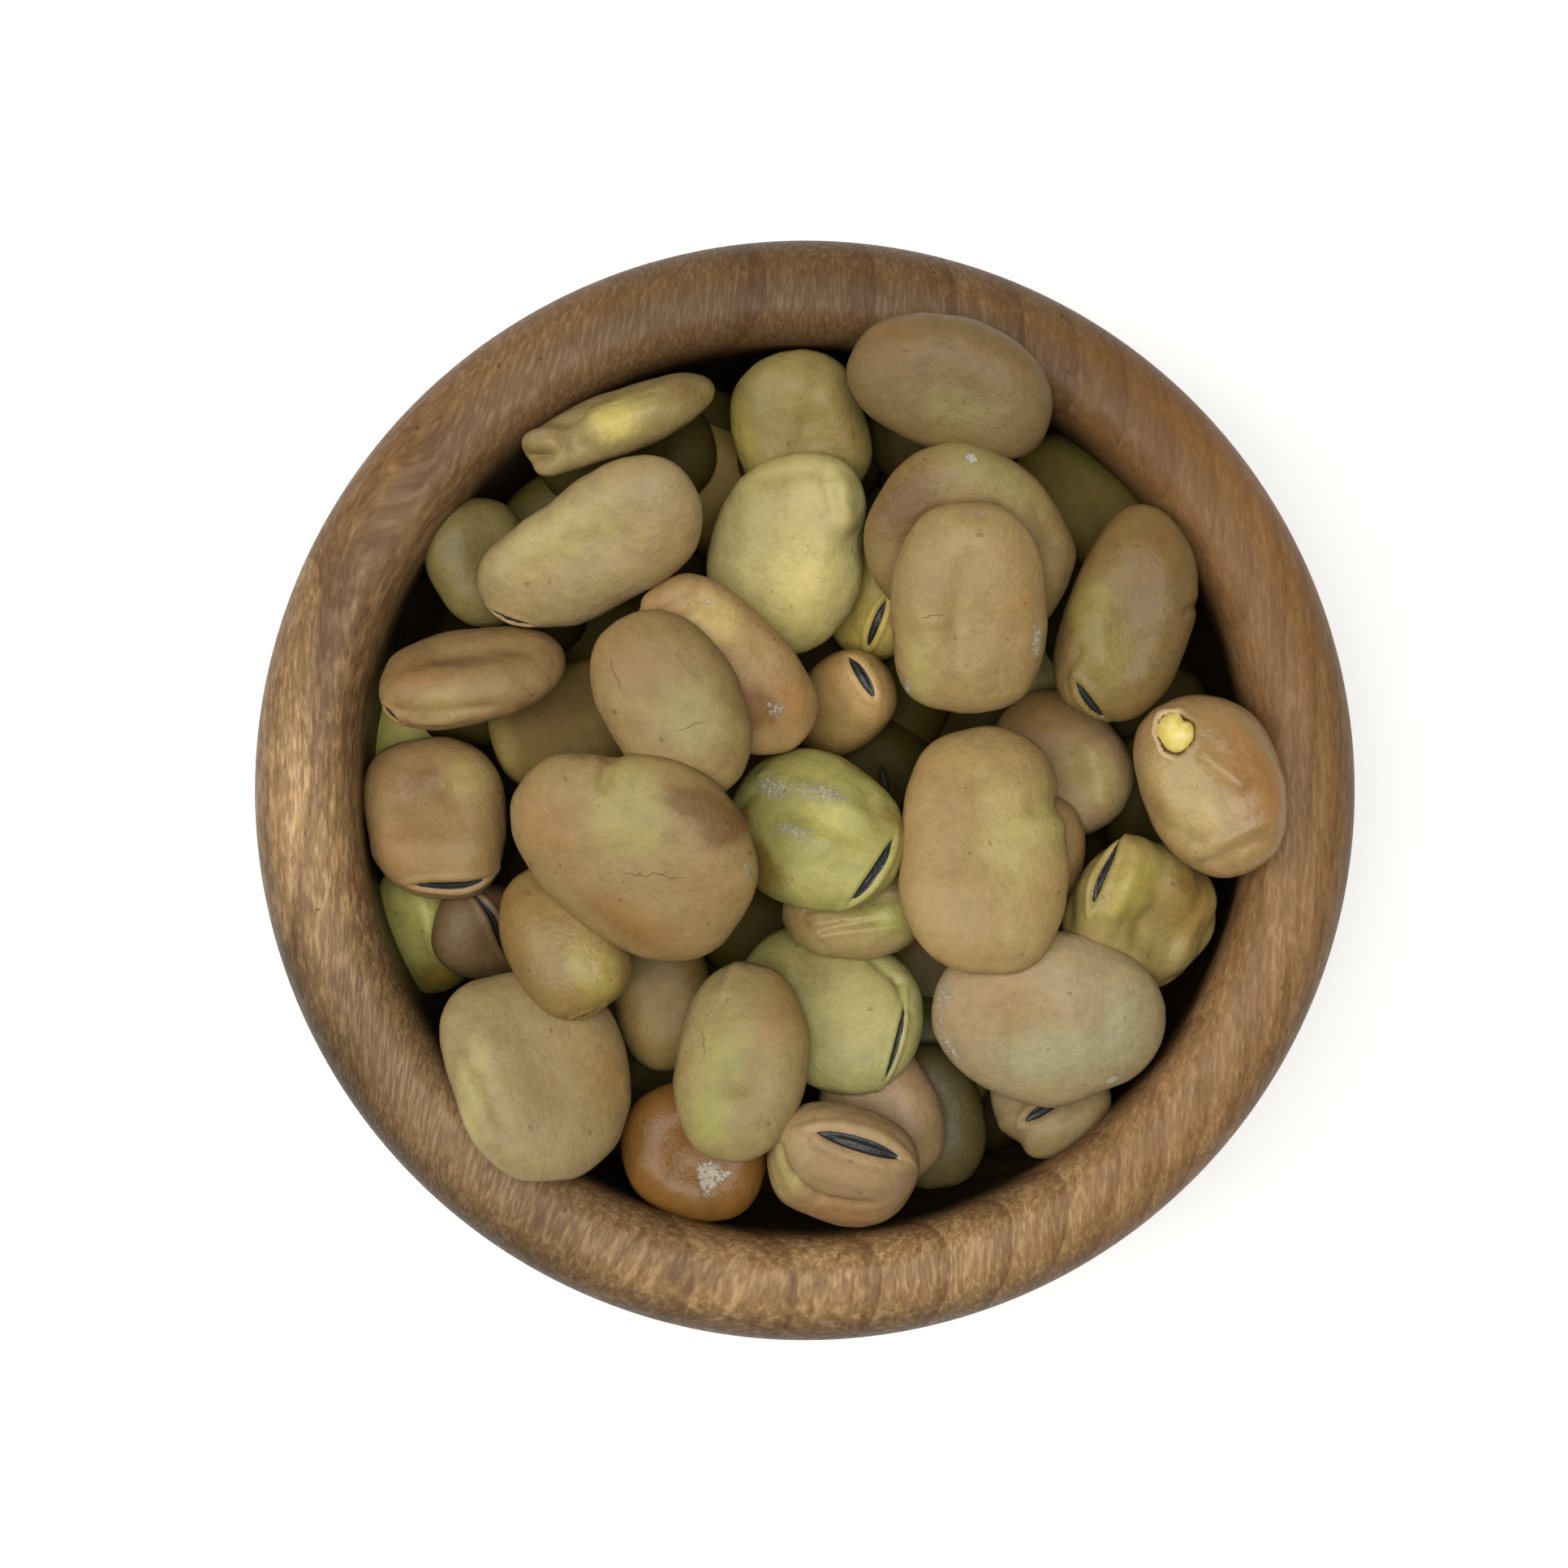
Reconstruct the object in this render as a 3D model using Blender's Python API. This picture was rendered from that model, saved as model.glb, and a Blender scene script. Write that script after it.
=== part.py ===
"""A small turned wooden bowl heaped with dried broad beans.

The bowl stands on its flat foot at the origin, with +Z up. Sizes below are in
millimetres and become metres where the meshes are made. The heap is one solid: a
low core that fills the bottom of the bowl, with the beans of the heap fused on.
Each bean has a real length, width and thickness, a place in the heap as it is seen
from above, and the way it lies. A simple settling rule then drops the beans one
after the other onto the core, the wall, the rim and the beans below.
"""

import math
from dataclasses import dataclass

import bmesh
import bpy
import numpy as np

MM = 0.001

# The bowl.
OUTER_RADIUS = 60.0
HEIGHT = 54.0
SHOULDER_HEIGHT = 48.0
BELLY_HEIGHT = 42.0
FOOT_RADIUS = 31.0
FOOT_ROUNDING = 1.2
MOUTH_RADIUS = 48.5
MOUTH_HEIGHT = 49.0
CROWN_INNER = 52.5
CROWN_OUTER = 54.0
HOLLOW_RADIUS = 49.0
HOLLOW_BOTTOM = 10.0
HOLLOW_SHOULDER = 40.0
HOLLOW_POWER = 2.6
WALL_POWER = 2.3
BOWL_SEGMENTS = 48
WALL_STEPS = 8
INNER_LIP_STEPS = 3
OUTER_LIP_STEPS = 4
BOWL_CREASE = 35.0

# The core of the heap.
CORE_MIDDLE = 34.0
CORE_EDGE = 28.0
CORE_DOME = 5.0
CORE_GAP = 0.4
CORE_STEPS = 7
CORE_SEGMENTS = 32
HEAP_CREASE = 40.0

# How far beans keep off the bowl, how far they sink into what they lie on, and how
# they come to rest: in steps of tilt, coarse and then finer, over a grid of cells.
WALL_GAP = 0.7
SKIN_GAP = 0.4
GAP_SINK = 4.5
DEEP_SINK = 2.2
TOP_SINK = 1.3
UNDERSIDE_DEEPER = 0.8
LOW_GUESS = CORE_MIDDLE + 5.0
HIGH_GUESS = HEIGHT - 3.0
TILT_COST = 0.05
TILT_STEPS = 9
FINER_TILT = 4.0
CELL = 0.75
FIELD_MARGIN = 2.0
NUDGE = 0.05
NUDGES = 12

# How the heap is seen from above: pixels of a square picture, the point under the
# eye, the middle of the bowl, and the height of the eye over the rim.
PIXELS_PER_MM = 11.5
EYE_PIXEL = (966.0, 966.0)
BOWL_PIXEL = (992.0, 974.0)
EYE_HEIGHT = 300.0
EYE_X = (EYE_PIXEL[0] - BOWL_PIXEL[0]) / PIXELS_PER_MM
EYE_Y = (BOWL_PIXEL[1] - EYE_PIXEL[1]) / PIXELS_PER_MM

# The sides and rings of a bean's mesh, as parts of the way from its middle to its edge.
SHOWN_RINGS = (14, (0.55, 0.86), (0.72,))
LOW_RINGS = (10, (0.5, 0.85), (0.7,))
HIDDEN_RINGS = (7, (0.7,), (0.7,))

# A bean's form: how round its faces are, how blunt and full its scarred end is, how
# far along it a notch and from its middle a dimple reach, and where a bend is level.
PILLOW_POWER = 2.7
BLUNT_END = 0.04
FULL_END = 0.06
NOTCH_REACH = 0.22
DIMPLE_REACH = 0.45
BEND_LEVEL = 0.35

# Length, width and thickness of the beans that only hold up others.
HIDDEN_SIZE = (18.0, 13.0, 8.0)
PROP_SIZE = (17.0, 12.5, 8.0)


@dataclass
class Bean:
    """One dried bean: its size, its outline and the way it lies.

    ``seen`` is the pixel of its middle, ``turn`` points its scarred end, counted
    from +X towards +Y, ``pitch`` raises that end and ``roll`` raises its left side.
    It may tilt by up to ``free`` degrees as it settles, and lies no higher than ``cap``.
    """

    name: str
    seen: tuple
    length: float
    width: float
    thick: float
    turn: float
    pitch: float = 0.0
    roll: float = 0.0
    free: float = 11.0
    on_rim: bool = False
    lift: float = 0.0
    cap: float = 99.0
    square: float = 2.3
    egg: float = 0.04
    bend: float = 0.0
    notch: float = 0.0
    notch_side: int = -1
    notch_at: float = 0.45
    dimple: float = 0.5


def hidden(name, seen, turn):
    """A flat bean low under the others, which holds them up."""
    return Bean(name, seen, *HIDDEN_SIZE, turn)


def prop(name, seen, turn, cap, roll=65.0):
    """A bean right under a high one, on its side, no higher than its cap."""
    return Bean(name, seen, *PROP_SIZE, turn, 0.0, roll, cap=cap)


HIDDEN_BEANS = [
    hidden("under_torn", (1425, 990), 100),
    hidden("under_rim_north", (1150, 560), -20),
    hidden("under_crescent", (1190, 690), -60),
    hidden("under_olive_north", (1000, 560), 10),
    hidden("under_edge_north", (780, 545), 20),
    hidden("under_olive_west", (625, 715), 130),
    hidden("under_block_west", (560, 1000), -60),
    hidden("under_edge_west", (600, 850), 10),
    hidden("under_rim_south_west", (690, 1300), 70),
    hidden("under_brown_east", (1370, 740), 70),
    hidden("under_russet", (860, 1400), 20),
    hidden("under_tall_east", (1215, 1060), 80),
    hidden("under_mossy", (1000, 1015), -40),
    hidden("under_largest", (790, 1040), 145),
]

PROP_BEANS = [
    prop("prop_torn", (1455, 975), 100, 45.0),
    prop("prop_rim_north", (1160, 530), -20, 46.0, 20),
    prop("prop_crescent", (1195, 665), -40, 43.5),
    prop("prop_edge_north", (770, 535), 20, 46.0, 15),
    prop("prop_kidney", (735, 665), 25, 44.5),
    prop("prop_rim_south_west", (685, 1310), 110, 44.0),
    prop("prop_brown_east", (1385, 745), -105, 44.5),
    prop("prop_pair", (860, 835), -50, 43.0),
    prop("prop_largest", (785, 1050), 145, 48.0),
    prop("prop_grey_south", (1290, 1240), 0, 43.5),
]

GAP_BEANS = [
    Bean("gap_west", (500, 895), 17, 13, 8, 60),
    Bean("gap_east", (1400, 950), 18, 13, 8, 90),
    Bean("gap_north_east", (1290, 800), 18, 12, 8, 95),
    Bean("gap_middle", (1112, 850), 16, 12, 8, 80),
    Bean("gap_well", (1085, 950), 16, 12, 8, -50),
    Bean("gap_north", (885, 620), 18, 13, 8, -60),
    Bean("gap_north_west", (680, 630), 16, 12, 8, 30),
    Bean("gap_behind_pair", (745, 780), 17, 12, 8, 10),
    Bean("gap_top", (865, 530), 18, 12, 8, -70),
    Bean("gap_south_mid", (1150, 1200), 16, 12, 8, -80),
    Bean("gap_south_edge", (1238, 1392), 16, 11, 8, -50),
    Bean("gap_south", (1150, 1298), 16, 12, 8, -50),
    Bean("gap_south_west", (760, 1395), 16, 12, 8, -60),
    Bean("gap_russet_side", (806, 1336), 15, 12, 8, 60),
    Bean("gap_core", (925, 1140), 18, 13, 8, -30),
    Bean("gap_east_top", (1445, 880), 16, 12, 8, 20),
]

LOW_BEANS = [
    Bean("olive_west", (588, 690), 15.5, 12.5, 8, 100, 0, 25, 6, lift=4.0),
    Bean("umber_west", (690, 895), 19, 14, 8, 200, bend=0.6),
    Bean("slim_west", (524, 1145), 15, 10.5, 8.5, -70, 0, 25, bend=1.2),
    Bean("scar_west", (606, 1150), 16, 11, 8, 165, 45, 0, 8),
    Bean("slim_south", (812, 1235), 19, 11.5, 8, -80),
    Bean("olive_south", (1152, 1388), 17, 12, 8, -80),
    Bean("rose_south", (1108, 1378), 17, 13, 8, -70),
    Bean("fold_south", (1304, 1378), 17, 13, 8, -60, 20, 0, 5, notch=0.15),
    Bean("rose_east", (1310, 940), 18, 14, 8, -55, dimple=0.8),
    Bean("umber_east", (1285, 1040), 18, 13, 8, 80),
    Bean("moss_north_east", (1335, 620), 19, 12, 8, -45),
    Bean("edge_middle", (1072, 740), 15, 11, 8, -75, 0, 45, 8),
]

MIDDLE_BEANS = [
    Bean("pale_south", (1030, 1238), 23, 17, 7.8, -20, dimple=0.3),
    Bean("pale_east", (1404, 1118), 18, 16.5, 9, 157, 25, 0, 8, dimple=1.2),
    Bean("wrinkled", (1055, 1130), 17, 11, 8, 180, 0, 20, bend=0.8),
    Bean("olive_north", (985, 534), 17.5, 15.5, 8, 100, 22, 0, 5, True, dimple=1.0),
    Bean("rim_north", (1170, 472), 22.4, 15.5, 8, -18, 0, 6, 11, True, dimple=0.3),
    Bean("edge_west", (574, 832), 21, 14, 8.5, 190, 0, 50, 4),
    Bean("block_west", (530, 1003), 17.8, 15.5, 9.2, -85, 22, 0, 8,
         square=2.7, dimple=1.0),
    Bean("edge_north", (766, 522), 21.5, 13, 7.5, -163, 0, 66, 6, True, notch=0.1),
    Bean("russet", (852, 1430), 16.5, 15, 8.5, -20, dimple=1.6),
    Bean("rim_south_west", (660, 1330), 22.5, 20.3, 8, 100, -4, 6, 11, True,
         notch=0.05, notch_side=1, notch_at=-0.1, square=2.4),
    Bean("crescent", (1200, 668), 22.5, 20, 8, -30, dimple=1.8),
]

UPPER_BEANS = [
    Bean("big_scar", (1037, 1436), 17, 16.5, 10, 75, 50, 0, 6, square=2.5),
    Bean("mossy", (1005, 1022), 20, 16.5, 9, -25, 14, square=2.1, dimple=0.2),
    Bean("pear", (970, 684), 22.3, 17, 8, 75, egg=-0.05, notch=0.14, notch_at=0.3,
         square=2.2),
    Bean("scar_middle", (1038, 868), 15, 10.5, 8, 45, 48, 0, 5),
    Bean("grey_south", (1295, 1259), 26.5, 19, 8.5, -5, bend=-0.7, egg=-0.02,
         square=2.5),
    Bean("brown_east", (1390, 755), 24, 15.5, 9, -108, 8, 0, 11, True, bend=0.8,
         notch=0.06),
    Bean("plump_west", (695, 1160), 18, 12.8, 9.2, -62, square=2.4, dimple=0.0),
    Bean("beaked", (915, 1310), 21.5, 14.5, 8.2, 83, egg=-0.05, dimple=0.0),
    Bean("tan_north_east", (1193, 752), 23.3, 17, 8.6, -90, square=2.5, notch=0.05,
         notch_at=0.35),
    Bean("kidney", (724, 668), 26.2, 15.5, 8, -154, bend=-1.6, square=2.3),
    Bean("pair_lower", (893, 822), 24, 14, 7.6, 137, bend=0.6),
]

TOP_BEANS = [
    Bean("torn_skin", (1492, 970), 20.3, 15.5, 10, 117, 0, 0, 11, True, dimple=0.3),
    Bean("pair_upper", (826, 866), 22, 15, 7.2, -60, square=2.4, dimple=0.2),
    Bean("tall_east", (1213, 1050), 26.5, 18.7, 8.5, 94, square=2.6, notch=0.06,
         notch_at=0.2),
    Bean("largest", (778, 1054), 28.0, 20.2, 8.6, 145, egg=-0.03, notch=0.09,
         notch_at=0.42, square=2.4, dimple=0.3),
]

DEEP_BEANS = HIDDEN_BEANS + LOW_BEANS + PROP_BEANS
RAISED_BEANS = MIDDLE_BEANS + UPPER_BEANS + TOP_BEANS


def hollow_height(radius):
    """Height of the bowl's hollow over a distance from the axis, up to its shoulder."""
    share = np.minimum(radius / HOLLOW_RADIUS, 1.0) ** HOLLOW_POWER
    depth = HOLLOW_SHOULDER - HOLLOW_BOTTOM
    return HOLLOW_SHOULDER - depth * (1.0 - share) ** (1.0 / HOLLOW_POWER)


def hollow_radius(height):
    """Free distance from the axis at a height inside the bowl."""
    low = np.clip((HOLLOW_SHOULDER - height) / (HOLLOW_SHOULDER - HOLLOW_BOTTOM), 0, 1)
    curved = HOLLOW_RADIUS * (1.0 - low ** HOLLOW_POWER) ** (1.0 / HOLLOW_POWER)
    up = np.clip((height - HOLLOW_SHOULDER) / (MOUTH_HEIGHT - HOLLOW_SHOULDER), 0, 1)
    return curved + (MOUTH_RADIUS - HOLLOW_RADIUS) * up


def rim_height(radius):
    """Height of the rounded rim over a distance from the axis, past the mouth."""
    inner = np.clip((CROWN_INNER - radius) / (CROWN_INNER - MOUTH_RADIUS), 0, 1)
    outer = np.clip((radius - CROWN_OUTER) / (OUTER_RADIUS - CROWN_OUTER), 0, 1)
    drop = (HEIGHT - MOUTH_HEIGHT) * (1.0 - np.sqrt(1.0 - inner ** 2))
    fall = (HEIGHT - SHOULDER_HEIGHT) * (1.0 - np.sqrt(1.0 - outer ** 2))
    return HEIGHT - drop - fall


def core_height(radius):
    """Height of the core's dished top over a distance from the axis."""
    return CORE_MIDDLE + (CORE_EDGE - CORE_MIDDLE) * (radius / MOUTH_RADIUS) ** CORE_DOME


def arc(centre, radii, start, end, steps):
    """Points of an elliptical arc in the profile plane, angles in degrees."""
    angles = np.radians(np.linspace(start, end, steps + 1))
    return [(centre[0] + radii[0] * math.cos(a), centre[1] + radii[1] * math.sin(a))
            for a in angles]


def superellipse_quarter(radii, power, steps):
    """Offsets of a quarter superellipse, from (0, 1) to (1, 0) of its radii."""
    angles = np.radians(np.linspace(0.0, 90.0, steps + 1))
    return [(radii[0] * math.sin(a) ** (2.0 / power), radii[1] * math.cos(a) ** (2.0 / power))
            for a in angles]


def bowl_profile():
    """The bowl's half section, from the middle of the hollow over the rim to the foot."""
    sink = (HOLLOW_RADIUS, HOLLOW_SHOULDER - HOLLOW_BOTTOM)
    hollow = [(x, HOLLOW_SHOULDER - y)
              for x, y in superellipse_quarter(sink, HOLLOW_POWER, WALL_STEPS)]
    inner_lip = arc((CROWN_INNER, MOUTH_HEIGHT), (CROWN_INNER - MOUTH_RADIUS,
                    HEIGHT - MOUTH_HEIGHT), 180.0, 90.0, INNER_LIP_STEPS)
    outer_lip = arc((CROWN_OUTER, SHOULDER_HEIGHT), (OUTER_RADIUS - CROWN_OUTER,
                    HEIGHT - SHOULDER_HEIGHT), 90.0, 0.0, OUTER_LIP_STEPS)
    spread = (OUTER_RADIUS - FOOT_RADIUS, BELLY_HEIGHT)
    wall = [(FOOT_RADIUS + x, BELLY_HEIGHT - y)
            for x, y in reversed(superellipse_quarter(spread, WALL_POWER, WALL_STEPS))]
    foot = [(FOOT_RADIUS - FOOT_ROUNDING, 0.0), (0.0, 0.0)]
    lifted = [(r, max(z, FOOT_ROUNDING)) for r, z in wall]
    return hollow + inner_lip + outer_lip + lifted + foot


def turned_mesh(name, profile, segments):
    """A closed turned solid from a profile whose two ends lie on the axis."""
    mesh = bpy.data.meshes.new(name)
    bm = bmesh.new()
    rings = []
    for radius, height in profile:
        if radius < 1e-6:
            rings.append([bm.verts.new((0.0, 0.0, height * MM))])
            continue
        angles = [2.0 * math.pi * k / segments for k in range(segments)]
        rings.append([bm.verts.new((radius * math.cos(a) * MM, radius * math.sin(a) * MM,
                                    height * MM)) for a in angles])
    for first, second in zip(rings, rings[1:]):
        for k in range(segments):
            corners = [first[k % len(first)], first[(k + 1) % len(first)],
                       second[(k + 1) % len(second)], second[k % len(second)]]
            bm.faces.new(list(dict.fromkeys(corners)))
    bmesh.ops.recalc_face_normals(bm, faces=bm.faces)
    bm.to_mesh(mesh)
    bm.free()
    return mesh


def outline(bean, angle):
    """The bean's edge in plan at an angle from its scarred end."""
    half = np.array([bean.length, bean.width]) / 2.0
    cos, sin = np.cos(angle), np.sin(angle)
    reach = (np.abs(cos / half[0]) ** bean.square
             + np.abs(sin / half[1]) ** bean.square) ** (-1.0 / bean.square)
    return reach * cos, reach * sin


def bean_surface(bean, angle, share, side, deeper=0.0):
    """Points of the skin, in the bean's own frame.

    ``share`` runs from 0 in the middle of a face to 1 at the edge, and ``side`` is
    +1 on the upper face and -1 on the lower one, which can be ``deeper``.
    """
    half_length, half_width = bean.length / 2.0, bean.width / 2.0
    edge_x, edge_y = outline(bean, angle)
    x, y = edge_x * share, edge_y * share
    along = x / half_length
    x = x * (1.0 - BLUNT_END * np.clip(along, 0.0, 1.0) ** 4)
    y = y * (1.0 + bean.egg * along)
    on_side = np.clip(bean.notch_side * y / half_width, 0.0, 1.0) ** 2
    dent = bean.notch * np.exp(-((along - bean.notch_at) / NOTCH_REACH) ** 2)
    y = y * (1.0 - dent * on_side)
    y = y + bean.bend * (BEND_LEVEL - along ** 2)
    swell = np.sqrt(np.clip(1.0 - share ** PILLOW_POWER, 0.0, 1.0))
    swell = swell * (1.0 + FULL_END * along)
    hollow = bean.dimple * np.exp(-(share / DIMPLE_REACH) ** 2) * (deeper == 0.0)
    z = side * ((bean.thick / 2.0 + deeper) * swell - hollow)
    return np.stack([x, y, z], axis=-1)


def bean_rings(bean, layout, deeper=0.0):
    """The rings of a bean's mesh, top middle first, bottom middle last."""
    sides, top_rings, bottom_rings = layout
    angles = 2.0 * math.pi * np.arange(sides) / sides
    rings = [bean_surface(bean, np.zeros(1), np.zeros(1), 1.0)]
    rings += [bean_surface(bean, angles, np.full(sides, s), 1.0) for s in top_rings]
    rings += [bean_surface(bean, angles, np.ones(sides), 1.0)]
    rings += [bean_surface(bean, angles, np.full(sides, s), -1.0, deeper)
              for s in reversed(bottom_rings)]
    rings += [bean_surface(bean, np.zeros(1), np.zeros(1), -1.0, deeper)]
    return rings


def rotation(turn, pitch, roll):
    """Rotation that rolls a bean, then pitches it, then turns it, in degrees."""
    t, p, r = (math.radians(a) for a in (turn, pitch, roll))
    rolled = np.array([[1, 0, 0], [0, math.cos(r), -math.sin(r)],
                       [0, math.sin(r), math.cos(r)]])
    pitched = np.array([[math.cos(p), 0, -math.sin(p)], [0, 1, 0],
                        [math.sin(p), 0, math.cos(p)]])
    turned = np.array([[math.cos(t), -math.sin(t), 0],
                       [math.sin(t), math.cos(t), 0], [0, 0, 1]])
    return turned @ pitched @ rolled


class Heap:
    """The heap as it grows: a height field over the bowl, and where each bean lies."""

    def __init__(self):
        edge = OUTER_RADIUS + FIELD_MARGIN
        self.axis = np.arange(-edge, edge + CELL / 2.0, CELL)
        self.x, self.y = np.meshgrid(self.axis, self.axis, indexing="ij")
        radius = np.hypot(self.x, self.y)
        lift = TOP_SINK + SKIN_GAP
        inside = np.maximum(core_height(radius), hollow_height(radius) + lift)
        self.top = np.where(radius > MOUTH_RADIUS, rim_height(radius) + lift, inside)
        self.placed = []

    def faces(self, turned, half, centre):
        """Lower and upper face of an ellipsoid at height 0 over the cells it covers."""
        form = turned @ np.diag(1.0 / half ** 2) @ turned.T
        reach = half.max()
        i = slice(*np.searchsorted(self.axis, (centre[0] - reach, centre[0] + reach)))
        j = slice(*np.searchsorted(self.axis, (centre[1] - reach, centre[1] + reach)))
        dx, dy = self.x[i, j] - centre[0], self.y[i, j] - centre[1]
        slope = form[0, 2] * dx + form[1, 2] * dy
        rest = form[0, 0] * dx * dx + 2.0 * form[0, 1] * dx * dy + form[1, 1] * dy * dy
        inner = slope ** 2 - form[2, 2] * (rest - 1.0)
        root = np.sqrt(np.clip(inner, 0.0, None))
        low, high = (-slope - root) / form[2, 2], (-slope + root) / form[2, 2]
        return (i, j), inner > 0.0, low, high

    def height_of(self, turned, half, centre):
        """Height at which an ellipsoid comes to rest."""
        cells, covered, low, _ = self.faces(turned, half, centre)
        return np.where(covered, self.top[cells] - low, -np.inf).max()

    def drop(self, bean, sink, guess):
        """Settles one bean: finds its tilt and place, and adds it to the heap."""
        half = np.array([bean.length, bean.width, bean.thick]) / 2.0
        height = guess
        for _ in range(2):
            aim = seen_point(bean.seen, height)
            best = (np.inf, 0.0, 0.0)
            for reach in (bean.free, bean.free / FINER_TILT):
                middle = best[1:]
                for tip in np.linspace(-reach, reach, TILT_STEPS) + middle[0]:
                    for heel in np.linspace(-reach, reach, TILT_STEPS) + middle[1]:
                        turned = rotation(bean.turn, bean.pitch + tip, bean.roll + heel)
                        centre = inside_mouth(bean, turned, half, aim)
                        level = self.height_of(turned, half, centre)
                        cost = level + TILT_COST * (abs(tip) + abs(heel))
                        if cost < best[0]:
                            best = (cost, tip, heel)
            turned = rotation(bean.turn, bean.pitch + best[1], bean.roll + best[2])
            centre = inside_mouth(bean, turned, half, aim)
            height = min(self.height_of(turned, half, centre) - sink, bean.cap)
        place = clear_of_bowl(bean, turned, np.array([*centre, height]))
        cells, covered, _, high = self.faces(turned, half, place[:2])
        raised = np.maximum(self.top[cells], place[2] + high)
        self.top[cells] = np.where(covered, raised, self.top[cells])
        self.placed.append((bean, turned, place))


def seen_point(pixel, height):
    """The point over the foot that the eye sees at a pixel, at a height."""
    scale = (EYE_HEIGHT + HEIGHT - height) / EYE_HEIGHT / PIXELS_PER_MM
    return np.array([EYE_X + (pixel[0] - EYE_PIXEL[0]) * scale,
                     EYE_Y - (pixel[1] - EYE_PIXEL[1]) * scale])


def inside_mouth(bean, turned, half, centre):
    """Moves a bean's middle in until its plan clears the wall, unless it lies on the rim."""
    if bean.on_rim:
        return centre
    spread = (turned @ np.diag(half ** 2) @ turned.T)[:2, :2]
    angles = np.radians(np.arange(0.0, 360.0, 10.0))
    ways = np.stack([np.cos(angles), np.sin(angles)])
    reach = np.sqrt(np.einsum("ik,ij,jk->k", ways, spread, ways))
    for _ in range(3):
        edge = centre[:, None] + spread @ ways / reach
        far = np.hypot(*edge)
        k = far.argmax()
        over = far[k] - (MOUTH_RADIUS - WALL_GAP)
        if over <= 0.0:
            break
        centre = centre - edge[:, k] / far[k] * (over + NUDGE)
    return centre


def clear_of_bowl(bean, turned, place):
    """Moves a bean off the wall and the rim, until its skin clears both."""
    rings = bean_rings(bean, SHOWN_RINGS)
    local = np.concatenate(rings) @ turned.T
    for _ in range(NUDGES):
        points = local + place
        radius = np.hypot(points[:, 0], points[:, 1])
        low = points[:, 2] < MOUTH_HEIGHT
        into_wall = np.where(low, radius - hollow_radius(points[:, 2]) + SKIN_GAP, 0.0)
        over_rim = radius > MOUTH_RADIUS - SKIN_GAP
        under_rim = rim_height(np.maximum(radius, MOUTH_RADIUS)) + SKIN_GAP - points[:, 2]
        into_rim = np.where(over_rim & ~low, under_rim, 0.0)
        k = into_wall.argmax()
        if into_wall[k] > 0.0:
            inward = points[k, :2] / radius[k] * (into_wall[k] + NUDGE)
            place = place - np.array([*inward, 0.0])
        elif into_rim.max() > 0.0:
            place = place + np.array([0.0, 0.0, into_rim.max() + NUDGE])
        else:
            break
    return place


def settle_heap():
    """Drops all the beans in order, and returns each with its rotation and place."""
    heap = Heap()
    for bean in GAP_BEANS:
        heap.drop(bean, GAP_SINK, CORE_MIDDLE)
    for bean in DEEP_BEANS:
        heap.drop(bean, DEEP_SINK - bean.lift, LOW_GUESS)
    for bean in RAISED_BEANS:
        heap.drop(bean, TOP_SINK - bean.lift, HIGH_GUESS)
    return heap.placed


def bean_mesh(bean, turned, place):
    """A closed, few-sided mesh of one bean where it lies."""
    layout = SHOWN_RINGS if bean in RAISED_BEANS else LOW_RINGS
    if bean in HIDDEN_BEANS + PROP_BEANS:
        layout = HIDDEN_RINGS
    sides = layout[0]
    deeper = 0.0 if bean.on_rim else UNDERSIDE_DEEPER
    mesh = bpy.data.meshes.new(bean.name)
    bm = bmesh.new()
    rings = []
    for ring in bean_rings(bean, layout, deeper):
        world = ring @ turned.T + place
        rings.append([bm.verts.new(p * MM) for p in world])
    for first, second in zip(rings, rings[1:]):
        for k in range(sides):
            corners = [first[k % len(first)], second[k % len(second)],
                       second[(k + 1) % len(second)], first[(k + 1) % len(first)]]
            corners = list(dict.fromkeys(corners))
            bm.faces.new(corners)
    bmesh.ops.triangulate(bm, faces=bm.faces)
    bmesh.ops.recalc_face_normals(bm, faces=bm.faces)
    bm.to_mesh(mesh)
    bm.free()
    return mesh


def core_profile():
    """The core's half section: along the hollow with a gap, and back over its dished top."""
    edge = HOLLOW_RADIUS
    while hollow_height(edge) + CORE_GAP > core_height(edge):
        edge -= NUDGE
    reach = np.linspace(0.0, edge - CORE_GAP, CORE_STEPS)
    under = [(r, float(hollow_height(r + CORE_GAP * r / edge)) + CORE_GAP) for r in reach]
    over = [(r, float(core_height(r)) + CORE_GAP) for r in reversed(reach)]
    return under + over


def keep_outer_shell(mesh):
    """Drops loose scraps and the walls of sealed hollows, and leaves the outer shell."""
    bm = bmesh.new()
    bm.from_mesh(mesh)
    left = set(bm.verts)
    shells = []
    while left:
        waiting = [left.pop()]
        shell = set(waiting)
        while waiting:
            corner = waiting.pop()
            fresh = [e.other_vert(corner) for e in corner.link_edges]
            fresh = [v for v in fresh if v in left]
            left.difference_update(fresh)
            shell.update(fresh)
            waiting.extend(fresh)
        shells.append(shell)
    largest = max(shells, key=len)
    scraps = [v for v in bm.verts if v not in largest]
    bmesh.ops.delete(bm, geom=scraps, context="VERTS")
    bm.to_mesh(mesh)
    bm.free()


def finish_material(name, colour, roughness):
    """A plain material in the piece's mean colour."""
    material = bpy.data.materials.new(name)
    material.use_nodes = True
    shader = material.node_tree.nodes["Principled BSDF"]
    shader.inputs["Base Color"].default_value = (*colour, 1.0)
    shader.inputs["Roughness"].default_value = roughness
    shader.inputs["Metallic"].default_value = 0.0
    return material


def add_object(name, mesh, collection):
    """Links a mesh to a collection as a named object."""
    item = bpy.data.objects.new(name, mesh)
    collection.objects.link(item)
    return item


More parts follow.
